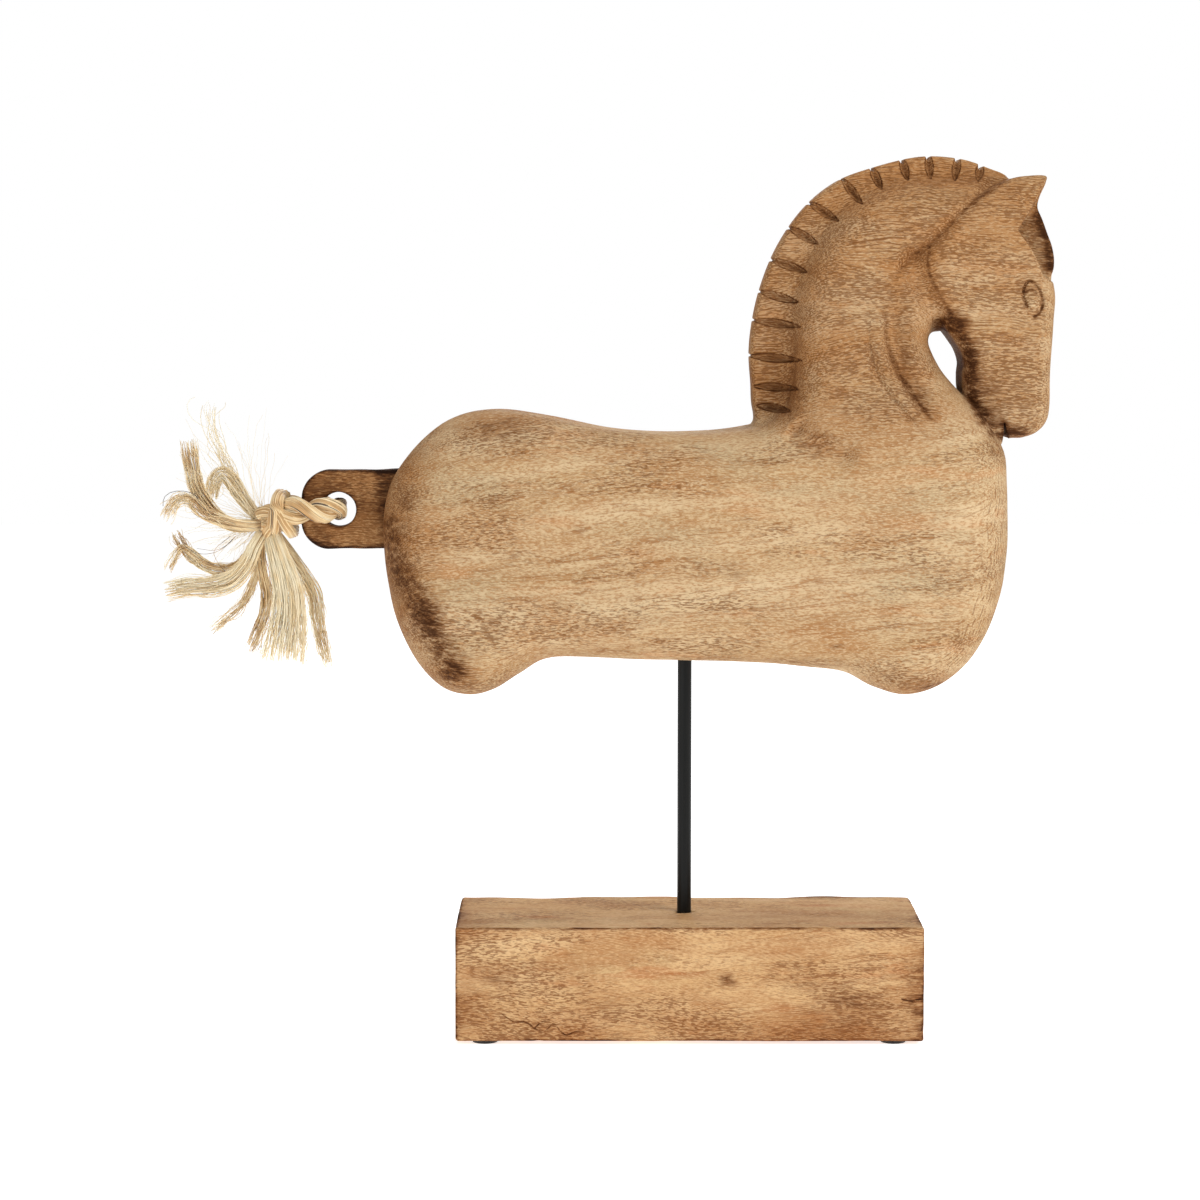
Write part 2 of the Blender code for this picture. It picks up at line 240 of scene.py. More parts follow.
HEAD = [
    (134, 440), (147, 460), (163, 473), (179, 479), (190, 472), (196, 456),
    (201.5, 438), (205.8, 420), (205.3, 404), (204, 376), (204.2, 357), (202.4, 348),
    (197, 342), (189, 339), (181.5, 338.4), (175.5, 334.6), (168.5, 339.5), (162, 351),
    (155.5, 364), (154.6, 374), (155.2, 381), (153, 388.3), (149, 394.5), (143, 404), (137, 424),
]
EAR_INNER = [
    (148, 459), (164, 474), (178, 481.5), (189, 481), (194.5, 471), (199, 462),
    (202.4, 453), (205, 446), (206.3, 438), (205, 431), (198, 426), (176, 440),
]
EAR_OUTER = [
    (146, 456), (163, 474), (177, 482.3), (189, 485), (201, 484), (197, 472), (195, 458),
    (197, 445), (199, 434), (193, 426), (176, 432), (156, 444),
]
# What is cut away outside each ear's inner wall, up to the ear's rim.
EAR_FRONT = [
    (212, 492), (202.5, 488), (199.5, 482), (192.5, 468.5), (185.4, 457.4), (184.2, 455.2),
    (185.8, 452.6), (189.4, 447.8), (193.4, 441), (196.4, 434.4), (199, 429.5), (206, 426.5),
    (216, 430), (222, 460),
]
# Each notch of the mane, from its outer end to its inner end.
CREST_NOTCHES = [
    ((40, 357), (55, 355)), ((38, 368), (58, 367)), ((35, 385), (59, 383)),
    ((37, 405), (59, 402)), ((41, 421), (59, 416)), ((47, 439), (64, 433)),
    ((57, 457), (71, 449)), ((68, 471), (82, 462)), ((87, 484), (96, 472)),
    ((103, 491), (108, 480)), ((120, 496), (123, 485)), ((135, 498), (136, 486)),
    ((152, 497), (150, 485)), ((165, 493), (163, 484)),
]
MANE_VALLEY = [
    (55, 344), (59, 368), (60, 388), (60, 406), (62, 423), (67, 437), (74, 451),
    (84, 463), (97, 473), (109, 480.5), (123, 484.5), (138, 486), (152, 485), (166, 482),
]
POLL_CREASE = [(180, 484), (167, 476), (152, 464), (137, 449), (124, 439), (117, 431)]
JAW_LINE = [(135, 446), (134, 434), (138, 424), (146, 410), (152, 400)]
NECK_HOLLOW = [(116, 418), (115, 396), (120, 378), (128, 364), (137, 350)]
NECK_RIDGE = [(106, 412), (106, 392), (112, 374), (123, 359), (137, 343)]
CHEEK_HOLLOW = [(128, 449), (127, 436), (131, 422), (139, 408), (146, 398)]
FRONT_GROOVE = [(111, 412), (111, 395), (117, 377), (126, 363), (136, 350)]
REAR_GROOVE = [(101, 416), (101, 392), (107, 372), (120, 355), (138, 335)]
WITHERS_CREASE = [(57, 348), (66, 341), (80, 334), (96, 328)]
EYE_RIM = [
    (189.4, 412.4), (187.4, 417.5), (187.4, 422.4), (189.8, 426.6), (193.5, 425.2), (196.6, 420.8),
    (197.9, 414.6), (196.7, 409.8), (193.4, 407),
]
EYE_FOLD = [(188.2, 419.3), (189.8, 422), (192.6, 421.9), (195, 418.8)]
EYE_CENTRE = (192.5, 414.8)
EYE_RAYS = [((187, 424), (184, 426.5)), ((186.6, 421), (182.8, 422.6)), ((186.8, 418), (184, 417.6))]
FACE_EDGE = [(197.8, 429), (198.6, 420), (198.2, 404), (196.8, 376), (196.2, 352), (193, 346)]
MOUTH = [(178.2, 347.4), (180.6, 334)]
NOSTRIL = (192.5, 346.5)

# The broad modelling of the neck and cheek: each groove's route, width, depth and the share of
# its length over which it runs out at each end. A negative depth is a ridge.
SOFT_GROOVES = [
    (NECK_HOLLOW, 5.2, 4.4, 0.25), (FRONT_GROOVE, 1.2, 2.0, 0.35), (REAR_GROOVE, 3.0, 1.5, 0.35),
    (REAR_GROOVE, 0.9, 0.9, 0.3), (MANE_VALLEY, 3.4, 1.3, 0.04), (MANE_VALLEY, 1.1, 0.9, 0.04),
    (NECK_RIDGE, 3.6, -1.1, 0.3), (WITHERS_CREASE, 8, 5.5, 0.2), (POLL_CREASE, 3.2, 2.4, 0.12),
    (POLL_CREASE, 1.0, 0.7, 0.12), (CHEEK_HOLLOW, 6, 4.2, 0.2),
]

TORSO_HALF = 46
HEAD_HALF = 29
MANE_HALF = 13
EAR_GAP_HALF = 7.5
EAR_WALL_HALF = 13.5
EAR_HALF = 28
CUP_CENTRE = np.array([197, 19, 447])
CUP_RADII = np.array([11, 6.5, 21])
BELLY = JOINTS["horse_turn"]["pos_m"][2] / MM
SPOT_FACE_RADIUS = 6.8
INSERT_BORE_RADIUS = 5.2
INSERT_BORE_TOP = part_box("belly_insert")[1].z / MM + 0.5
HORSE_GRID = 1.3
HORSE_LOW = np.array([-176, -50, 187])
HORSE_HIGH = np.array([213, 50, 502])
CURVE_STEPS = 7
SLOPE_REACH = 0.35


def curve_through(points, closed=False):
    """A Catmull-Rom line through the points."""
    p = np.array(points, float)
    p = np.vstack([p[-1], p, p[:2]]) if closed else np.vstack([2 * p[0] - p[1], p, 2 * p[-1] - p[-2]])
    t = (np.arange(CURVE_STEPS) / CURVE_STEPS)[None, :, None]
    a, b, c, d = (q[:, None, :] for q in (p[:-3], p[1:-2], p[2:-1], p[3:]))
    line = 0.5 * (2 * b + (c - a) * t + (2 * a - 5 * b + 4 * c - d) * t**2 + (3 * b - a - 3 * c + d) * t**3)
    line = line.reshape(-1, p.shape[1])
    return line if closed else np.vstack([line, p[-2]])


def distance_to(line, x, z, closed=False):
    """(distance, share along the line) from each point of the plane to a polyline."""
    a = np.asarray(line, float)
    b = np.roll(a, -1, 0)
    if not closed:
        a, b = a[:-1], b[:-1]
    best = np.full(x.shape, np.inf)
    along = np.zeros(x.shape)
    for i, (start, end) in enumerate(zip(a, b)):
        dx, dz = end - start
        t = np.clip(((x - start[0]) * dx + (z - start[1]) * dz) / max(dx * dx + dz * dz, 1e-12), 0, 1)
        gap = np.hypot(x - start[0] - t * dx, z - start[1] - t * dz)
        near = gap < best
        best[near] = gap[near]
        along[near] = ((i + t) / len(a))[near]
    return best, along


def is_inside(line, x, z):
    odd = np.zeros(x.shape, bool)
    for start, end in zip(line, np.roll(line, -1, 0)):
        if start[1] != end[1]:
            at = start[0] + (z - start[1]) * (end[0] - start[0]) / (end[1] - start[1])
            odd ^= ((start[1] > z) != (end[1] > z)) & (x < at)
    return odd


class Plan:
    """Values kept on a grid in the XZ plane and read between its points."""

    def __init__(self, low, high, step, make):
        self.low = np.array(low, float)
        self.step = step
        counts = [int(math.ceil((b - a) / step)) + 1 for a, b in zip(low, high)]
        x, z = np.meshgrid(*(a + step * np.arange(n) for a, n in zip(low, counts)), indexing="ij")
        self.grid = make(x, z)

    def __call__(self, x, z):
        u = np.clip((x - self.low[0]) / self.step, 0, self.grid.shape[0] - 1.001)
        v = np.clip((z - self.low[1]) / self.step, 0, self.grid.shape[1] - 1.001)
        i, j = u.astype(int), v.astype(int)
        u, v = u - i, v - j
        g = self.grid
        near_side = g[i, j] * (1 - u) + g[i + 1, j] * u
        far_side = g[i, j + 1] * (1 - u) + g[i + 1, j + 1] * u
        return near_side * (1 - v) + far_side * v


def outline_plan(outline):
    """The distance to a closed outline, negative inside."""
    line = curve_through(outline, closed=True)

    def make(x, z):
        gap, _ = distance_to(line, x, z, closed=True)
        return np.where(is_inside(line, x, z), -gap, gap)

    return Plan((-190, 175), (225, 510), 1.0, make)


def carving_plan(make):
    """Cut depths on a finer grid over the neck and head, fading to nothing at its borders."""
    low, high = (20, 305), (222, 510)

    def faded(x, z):
        inner = ramp(x, low[0], low[0] + 8) * ramp(z, low[1], low[1] + 8)
        return make(x, z) * inner * ramp(-z, -high[1], -high[1] + 4)

    return Plan(low, high, 0.5, faded)


def groove(x, z, route, width, depth, fade):
    """A soft channel along a route, as a depth, running out at both ends."""
    gap, along = distance_to(curve_through(route), x, z)
    ends = ramp(along, 0, fade) * ramp(1 - along, 0, fade)
    return depth * bell(gap, width) * ends


def notch_depth(x, z):
    """The mane's gouges: lens shapes, narrow at the crest and pointed at the inner end."""
    total = np.zeros(x.shape)
    for outer, inner in CREST_NOTCHES:
        outer, inner = np.array(outer, float), np.array(inner, float)
        gap, along = distance_to([outer + 0.04 * (inner - outer), inner + 0.2 * (inner - outer)], x, z)
        half = 0.25 + 2.2 * np.clip(np.sin(math.pi * (0.06 + 0.92 * along)), 0, 1) ** 0.8
        total = np.maximum(total, 1.35 * half * np.clip(1.06 - gap / half, 0, 0.85))
    return total


def soft_carving(x, z):
    return sum(groove(x, z, *row) for row in SOFT_GROOVES)


def fine_carving(x, z):
    """Depth of the sharp cuts on the head."""
    gap, along = distance_to(curve_through(EYE_RIM), x, z)
    depth = 1.0 * bell(gap, 0.6) * ramp(along, 0, 0.15) * ramp(1 - along, 0, 0.12)
    depth += groove(x, z, EYE_FOLD, 0.5, 0.7, 0.2)
    far = np.hypot((x - EYE_CENTRE[0]) / 4.3, (z - EYE_CENTRE[1]) / 5.2)
    depth += 0.8 * bell(far, 1.9) - 2.1 * np.sqrt(np.clip(1 - far**2, 0, 1)) * bell(far, 1.2)
    for start, end in EYE_RAYS:
        gap, along = distance_to([start, end], x, z)
        depth += 0.45 * bell(gap, 0.5) * (1 - 0.6 * along)
    far = np.hypot((x - NOSTRIL[0]) * 0.8, z - NOSTRIL[1])
    depth += 0.8 * bell(far, 1.7)
    return depth + groove(x, z, FACE_EDGE, 0.8, 0.5, 0.08)


def smooth_union(a, b, reach):
    h = np.maximum(reach - np.abs(a - b), 0) / reach
    return np.minimum(a, b) - h * h * reach / 4


def smooth_cut(body, tool, reach):
    return -smooth_union(-body, tool, reach)


def slab(side, across, half, edge):
    """A flat body from its outline's distance and the height above its middle plane, with round edges."""
    u = side + edge
    v = across - (half - edge)
    return np.minimum(np.maximum(u, v), 0) + np.hypot(np.maximum(u, 0), np.maximum(v, 0)) - edge


class HorseShape:
    """The carved body as a signed distance in millimetres, negative inside."""

    def __init__(self):
        for name, outline in (
            ("torso", TORSO), ("neck", NECK), ("mane", MANE), ("head", HEAD),
            ("ear_inner", EAR_INNER), ("ear_outer", EAR_OUTER), ("ear_front", EAR_FRONT),
        ):
            setattr(self, name, outline_plan(outline))
        self.notches = carving_plan(notch_depth)
        self.soft = carving_plan(soft_carving)
        self.fine = carving_plan(fine_carving)
        self.tab_low, self.tab_high = box_of("tail_tab")

    def __call__(self, points):
        x, y, z = points[:, 0], np.abs(points[:, 1]), points[:, 2]
        sway = waves(points, 70, 3) * 0.5 + waves(points, 26, 4) * 0.16
        torso = slab(self.torso(x, z), y, TORSO_HALF - 0.00035 * (x - 10) ** 2 * (x < 10), 27)
        slim = 1 - 0.35 * ramp(z, 305, 445)
        neck = slab(self.neck(x, z), y, TORSO_HALF * slim, 23)
        soft = self.soft(x, z) * ramp(y, 6, 13)
        body = smooth_union(torso, neck, 20) + 0.85 * soft + sway
        mane = slab(self.mane(x, z), y, MANE_HALF, 3.4) + 0.3 * sway
        body = smooth_union(body, mane, 9)
        cheek_half = HEAD_HALF - 8.5 * ramp(-z, -405, -335) + 1.2 * bell(np.hypot(x - 168, z - 424), 30)
        head = slab(self.head(x, z), y, cheek_half, 8.5)
        head = head + self.fine(x, z) * ramp(y, 10, 16) + 0.35 * sway
        ears = []
        for plan, half, edge in ((self.ear_outer, EAR_HALF, 5), (self.ear_inner, EAR_WALL_HALF, 2.8)):
            middle, thick = (half + EAR_GAP_HALF) / 2, (half - EAR_GAP_HALF) / 2
            ears.append(slab(plan(x, z), np.abs(y - middle), thick, edge))
        head = smooth_union(head, smooth_union(*ears, 2), 3.5)
        front = np.maximum(self.ear_front(x, z), EAR_WALL_HALF - y)
        head = smooth_cut(head, front, 1.6)
        cup = np.linalg.norm((np.stack([x, y, z], 1) - CUP_CENTRE) / CUP_RADII, axis=1)
        head = smooth_cut(head, (cup - 1) * 5.8, 1.5)
        body = smooth_union(body, head, 2.2)
        body = body + self.notches(x, z)
        mouth, along = distance_to(MOUTH, x, z)
        body = np.maximum(body, 0.4 + 2.7 * along**1.5 - mouth)
        return self.fittings(points, body)

    def fittings(self, points, body):
        """The mortise for the tail tab, and the bore and spot face for the rod."""
        x, y, z = points.T
        radius = np.hypot(x, y)
        middle = (self.tab_low[2] + self.tab_high[2]) / 2
        half = (self.tab_high[2] - self.tab_low[2]) / 2
        slot = np.maximum(np.abs(y) - self.tab_high[1] - 0.35, np.abs(z - middle) - half - 0.35)
        slot = np.maximum(slot, x - self.tab_high[0] - 0.5)
        face = np.maximum(radius - SPOT_FACE_RADIUS, z - BELLY - 0.1)
        bore = np.maximum(radius - INSERT_BORE_RADIUS, z - INSERT_BORE_TOP)
        return np.maximum(body, np.maximum(np.maximum(-slot, -face), -bore))


def surface_net(values, low, step):
    """(points, quads) of the surface where a grid of values changes sign."""
    inside = values < 0
    corners = np.array([(i & 1, i >> 1 & 1, i >> 2 & 1) for i in range(8)])
    shape = np.array(values.shape) - 1

    def at(array, corner):
        return array[tuple(slice(c, c + n) for c, n in zip(corner, shape))]

    count = sum(at(inside, c).astype(np.int8) for c in corners)
    cells = np.argwhere((count > 0) & (count < 8))
    index = np.full(shape, -1)
    index[tuple(cells.T)] = np.arange(len(cells))
    v = np.stack([values[tuple((cells + c).T)] for c in corners], 1)
    total = np.zeros((len(cells), 3))
    hits = np.zeros(len(cells))
    for a in range(8):
        for b in (a ^ 1, a ^ 2, a ^ 4):
            if a < b:
                crosses = (v[:, a] < 0) != (v[:, b] < 0)
                t = np.where(crosses, v[:, a] / np.where(crosses, v[:, a] - v[:, b], 1), 0)
                total += np.where(crosses[:, None], corners[a] + t[:, None] * (corners[b] - corners[a]), 0)
                hits += crosses
    points = np.asarray(low) + step * (cells + total / hits[:, None])
    quads = []
    for axis in range(3):
        u, w = np.eye(3, dtype=int)[(axis + 1) % 3], np.eye(3, dtype=int)[(axis + 2) % 3]
        change = np.diff(inside.astype(np.int8), axis=axis)
        nodes = np.argwhere(change != 0)
        kept = ((nodes - u >= 0) & (nodes - w >= 0) & (nodes < shape)).all(1)
        nodes = nodes[kept]
        ring = np.stack([index[tuple((nodes - o).T)] for o in (0 * u, u, u + w, w)], 1)
        leaves = change[tuple(nodes.T)] < 0
        ring[~leaves] = ring[~leaves][:, ::-1]
        quads.append(ring)
    return points, np.concatenate(quads)


def gradient(shape, points):
    slope = np.zeros_like(points)
    for axis in range(3):
        offset = np.zeros(3)
        offset[axis] = SLOPE_REACH
        slope[:, axis] = (shape(points + offset) - shape(points - offset)) / (2 * SLOPE_REACH)
    return slope


def settle(shape, points, rounds, furthest=0.9):
    """Moves points onto the surface along its slope."""
    for _ in range(rounds):
        slope = gradient(shape, points)
        size = np.maximum((slope**2).sum(1), 0.25)
        move = slope * (shape(points) / size)[:, None]
        length = np.linalg.norm(move, axis=1, keepdims=True)
        points = points - move * np.minimum(1, furthest / np.maximum(length, 1e-9))
    return points


def relax(points, quads):
    """Each point drawn halfway to the middle of its neighbours along the quads' edges."""
    total = np.zeros_like(points)
    count = np.zeros(len(points))
    for k in range(4):
        a, b = quads[:, k], quads[:, (k + 1) % 4]
        for p, q in ((a, b), (b, a)):
            np.add.at(count, p, 1)
            for axis in range(3):
                total[:, axis] += np.bincount(p, weights=points[q, axis], minlength=len(points))
    return points + 0.5 * (total / count[:, None] - points)


def grid_values(shape, axes):
    """A shape's values over a grid, worked out in parts to spare memory."""
    places = np.stack(np.meshgrid(*axes, indexing="ij"), -1).reshape(-1, 3)
    values = np.concatenate([shape(part) for part in np.array_split(places, 12)])
    return values.reshape([len(axis) for axis in axes])


def skin(name, shape, values, low, step):
    """A mesh of the surface in a grid of values, evened out and settled onto the shape."""
    points, quads = surface_net(values, low, step)
    for _ in range(2):
        points = settle(shape, relax(points, quads), 2)
    return mesh_of(name, points, quads.tolist())


def refine(mesh, shape, wanted):
    """Halves the edges whose ends are both wanted, and settles the mesh again."""
    keep = wanted(points_of(mesh))
    bm = bmesh.new()
    bm.from_mesh(mesh)
    bm.verts.ensure_lookup_table()
    edges = [e for e in bm.edges if keep[e.verts[0].index] and keep[e.verts[1].index]]
    bmesh.ops.subdivide_edges(bm, edges=edges, cuts=1, use_grid_fill=True)
    bm.to_mesh(mesh)
    bm.free()
    set_points(mesh, settle(shape, points_of(mesh), 3, 0.5))


def horse_mesh(shape):
    """The horse's skin from a grid over one half, which is then mirrored."""
    low = HORSE_LOW - HORSE_GRID / 2
    counts = np.ceil((HORSE_HIGH - low) / HORSE_GRID).astype(int) + 1
    xs = low[0] + HORSE_GRID * np.arange(counts[0])
    ys = HORSE_GRID * (np.arange(counts[1] // 2 + 1) + 0.5)
    zs = low[2] + HORSE_GRID * np.arange(counts[2])
    half = grid_values(shape, (xs, ys, zs))
    whole = np.concatenate([half[:, ::-1], half], 1)
    return skin("horse", shape, whole, (low[0], -ys[-1], low[2]), HORSE_GRID)


# Burnt patches on the sides, and some painted shade: centre, radii and strength.
SCORCH_AND_SHADE = [
    (-155, 304, 5, 9, 0.4), (-107, 304, 8, 5, 0.3), (-106, 236, 7, 6, 0.35), (-95, 272, 12, 9, 0.2),
    (-105, 344, 26, 10, 0.4), (-59, 290, 6, 5, 0.25), (-41, 220, 26, 4, 0.3), (71, 214, 26, 4, 0.4),
    (138, 200, 16, 6, 0.5), (110, 207, 14, 5, 0.35), (152, 229, 8, 10, 0.3), (84, 224, 6, 2, 0.5),
    (33, 296, 6, 5, 0.25), (27, 266, 10, 8, 0.3), (174, 293, 10, 20, 0.18), (173, 333, 9, 8, 0.35),
    (73, 339, 12, 6, 0.4), (-132, 209, 9, 6, 0.45), (-146, 242, 10, 10, 0.3),
    # The first four on the next line, along the head's rear edge, are painted shade under the jaw.
    (148, 404, 7, 6, 0.55), (160, 382, 7, 15, 0.42), (170, 366, 12, 12, 0.4), (170, 350, 9, 8, 0.5),
    (188, 342, 10, 6, 0.5), (122, 390, 6, 24, 0.42), (130, 362, 6, 12, 0.4), (100, 352, 22, 14, 0.25),
    (118, 452, 26, 12, 0.3), (84, 402, 12, 40, 0.16), (62, 362, 7, 26, 0.3),
    (188, 424, 9, 8, 0.3), (196, 372, 8, 26, 0.12), (152, 472, 22, 8, 0.25), (46, 366, 10, 24, 0.22),
    (190, 456, 7, 8, 0.25), (180, 470, 20, 8, 0.15),
]
HAUNCH_BAND = [(-167, 290), (-161, 266), (-150, 247), (-140, 228), (-128, 209)]
# Where painted shade runs under the jaw, along the head's rear edge.
UNDER_JAW_SHADE = [(154, 395), (157.5, 389), (159, 376), (160.5, 362), (166, 351)]
MOUTH_LIP = [(170, 343), (176, 341.5), (182, 343), (189, 342.5)]
EAR_RIM = [(197, 468), (201.5, 455), (204, 444), (205, 434)]
# Burnt lines along the eye's cuts, and painted shade along the jaw, poll and neck creases: route, strength
# and width.
BURNT_AND_SHADED_LINES = [
    (JAW_LINE, 0.45, 1.4), (POLL_CREASE, 0.35, 1.5), (FRONT_GROOVE, 0.35, 1.6),
    (REAR_GROOVE, 0.15, 1.2), (EYE_RIM, 0.6, 1.0), (EYE_FOLD, 0.3, 0.8),
]
# Painted shade along the creases on the sides: route, strength and width.
CREASE_SHADE_LINES = [(POLL_CREASE, 0.45, 5.5), (JAW_LINE, 0.45, 5), (NECK_HOLLOW, 0.35, 5.5)]


def near(route, x, z, width):
    gap, _ = distance_to(curve_through(route), x, z)
    return bell(gap, width)


def along_lines(rows, x, z):
    return sum(strength * near(route, x, z, width) for route, strength, width in rows)


def scorch_and_shade_of(shape, points):
    """How dark the wood is, from 0 to 1: the torch's patches and cuts, and painted shade along creases, in
    hollows and notches and under the jaw.
    """
    x, y, z = points.T
    out = np.abs(y)
    side = ramp(out, 4, 14)
    total = 0.42 * near(HAUNCH_BAND, x, z, 8) + 0.2 * near(HAUNCH_BAND, x, z, 18)
    total += 0.8 * spots(SCORCH_AND_SHADE, x, z)
    total *= 0.5 + 0.5 * side
    # Burnt lines at the eye, and painted shade along the creases.
    total += side * along_lines(BURNT_AND_SHADED_LINES, x, z)
    # Painted shade: a dark line along the valley inside the mane.
    total += 0.2 * near(MANE_VALLEY, x, z, 1.8) * ramp(z, 350, 362) * ramp(out, 6, 12)
    # Painted shade along the head's rear edge under the jaw, and below the cheek at the top of the throat;
    # the lip's line is darkened too.
    total += 0.7 * near(UNDER_JAW_SHADE, x, z, 3.6) + 0.35 * near(MOUTH_LIP, x, z, 3)
    total += 0.9 * spot(x, z, 147, 402.5, 9, 4.5)
    # Painted shade in the mane's notches: on their walls, and more the deeper they are.
    cut = shape.notches(x, z)
    total += (0.7 * bell(cut - 0.45, 0.4) * (cut > 0.02) + 0.12 * cut) * ramp(out, 6, 10)
    # Each ear's front edge darkened, and painted shade in its hollow, darkest under the rim.
    front = shape.ear_front(x, z)
    total += 0.6 * bell(front + 0.2, 0.6) * ramp(z, 440, 450) * ramp(out, 6, 9)
    ear_hollow_shade = ramp(-front, 1.8, 3.2) * ramp(z, 427, 433) * (out > 8) * (out < 26)
    total += ear_hollow_shade * (0.14 + 0.85 * near(EAR_RIM, x, z, 4.2))
    mouth, _ = distance_to(MOUTH, x, z)
    return np.clip(total + 0.5 * bell(mouth, 2.6), 0, 1)


def tone_of(points):
    """How brown the wash on the wood is, from 0 to 1, darkest on the mane; it also holds painted shade in
    the mane's valley and the creases, and painted highlights on the neck, chest and face.
    """
    x, y, z = points.T
    side = ramp(np.abs(y), 4, 14)
    neck = ramp(z, 340, 372) * ramp(x, 20, 44)
    mane = 1 - ramp(x - 0.2 * np.abs(z - 400), 44, 58)
    # Painted highlight: the middle of the neck is made paler.
    total = 0.42 - 0.08 * spot(x, z, 92, 392, 12, 40) + 0.5 * mane
    # Painted shade in the valley between the mane and the neck.
    total += 0.25 * near(MANE_VALLEY, x, z, 8) + 0.2 * near(MANE_VALLEY, x, z, 20)
    total *= neck
    # Painted shade along the poll, jaw and neck creases.
    total += side * along_lines(CREASE_SHADE_LINES, x, z)
    # Painted shade in the crease where the neck meets the back.
    total += 0.4 * near(WITHERS_CREASE, x, z, 8)
    # Up the neck, back over the haunch and down under the belly.
    total += 0.22 * ramp(z, 335, 352) + 0.75 * ramp(-x, 128, 168) + 0.12 * ramp(-x, 70, 130)
    total += 0.3 * ramp(-z, -222, -196) + 0.2 * spot(x, z, 20, 240, 90, 34)
    total += 0.3 * spot(x, z, 176, 365, 16, 16 / 0.6)
    # Paler: the eyeball; and painted highlights on the chest and in a strip down the face's front edge.
    total -= 0.35 * spot(x, z, *EYE_CENTRE, 3.6, 5.2) * side + 0.3 * spot(x, z, 158, 300, 25, 75)
    # Painted highlight along the face's front edge.
    face_highlight = ramp(x, 196.8, 198.6) * ramp(z, 344, 350) * ramp(-z, -434, -428)
    return np.clip(total * (1 - 0.4 * face_highlight), -0.3, 1)


def make_horse(material):
    shape = HorseShape()
    mesh = horse_mesh(shape)
    refine(mesh, shape, lambda p: (p[:, 2] > 330) & (p[:, 0] > 28))
    eye_rim = curve_through(EYE_RIM)

    def is_detailed(p):
        x, y, z = p[:, 0], np.abs(p[:, 1]), p[:, 2]
        eye = (distance_to(eye_rim, x, z)[0] < 4) & (y > 12)
        mouth = np.hypot(x - MOUTH[1][0], z - 341) < 9
        ear = (np.abs(shape.ear_front(x, z)) < 3) & (z > 424) & (y > 12)
        crest = (shape.mane(x, z) > -1.5) & (x < 170) & (z > 352) & (y < MANE_HALF + 0.5)
        return eye | mouth | ear | crest | (shape.notches(x, z) > 0.02)

    refine(mesh, shape, is_detailed)
    points = points_of(mesh)
    add_values(mesh, "scorch_and_shade", scorch_and_shade_of(shape, points))
    add_values(mesh, "tone", tone_of(points))
    place_mesh("carved_horse", mesh, material, "horse", "horse_body")


# ---------------------------------------------------------------- base block and tail tab
def net_mesh(name, shape, grid, closer):
    """Skins a shape, then halves its edges where each of the closer tests asks for it."""
    low = shape.low - 1.37 * grid
    counts = np.ceil((shape.high + grid - low) / grid).astype(int) + 1
    values = grid_values(shape, [a + grid * np.arange(n) for a, n in zip(low, counts)])
    mesh = skin(name, shape, values, low, grid)
    for wanted in closer:
        refine(mesh, shape, wanted)
    return mesh


def place_mesh(name, mesh, material, body, node):
    """Carries a mesh from the horse's millimetres to the frame and rides it."""
    set_points(mesh, points_of(mesh) * MM + [ROD_X, 0, 0])
    mesh.shade_smooth()
    mesh.materials.append(material)
    piece = link(name, mesh)
    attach(piece, body)
    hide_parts(node)


def box_of(node):
    """A CAD node's corners in the horse's millimetres."""
    shift = np.array([ROD_X, 0, 0])
    return tuple((np.array(corner) - shift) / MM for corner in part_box(node))


CRACKS = [
    [(-103, 17.5), (-97, 13.5), (-90, 13), (-85, 9.5), (-80, 7.4), (-77, 9.6), (-74, 12),
     (-70.5, 8), (-67, 5.7), (-62, 7.6), (-57, 7.4)],
    [(-85, 9.5), (-81, 13), (-76, 14.5)],
    [(121, 26), (126, 25), (132, 26.5)],
]
# Burnt patches on the block's front: centre, radii and strength.
BASE_SCORCH = [
    (-108, 40, 13, 7, 0.3), (-96, 30, 16, 5, 0.22), (-88, 44, 14, 5, 0.2), (-120, 22, 7, 10, 0.2),
    (-64, 46, 20, 6, 0.15), (-42, 24, 22, 5, 0.22), (-30, 15, 26, 5, 0.2), (23, 37.6, 5, 4, 0.4),
    (19, 36, 13, 5, 0.2), (62, 35, 16, 5, 0.25), (84, 29, 18, 7, 0.3), (102, 22, 18, 7, 0.3),
    (106, 42, 18, 5, 0.25), (70, 17, 18, 5, 0.2), (92, 11, 22, 4, 0.2), (128, 30, 6, 20, 0.3),
]
BASE_GRID = 2.2
BASE_EDGE = 1.5
ROD_BORE_RADIUS = 4.25
COUNTERBORE_RADIUS = 11.2
COUNTERBORE_DEPTH = 14


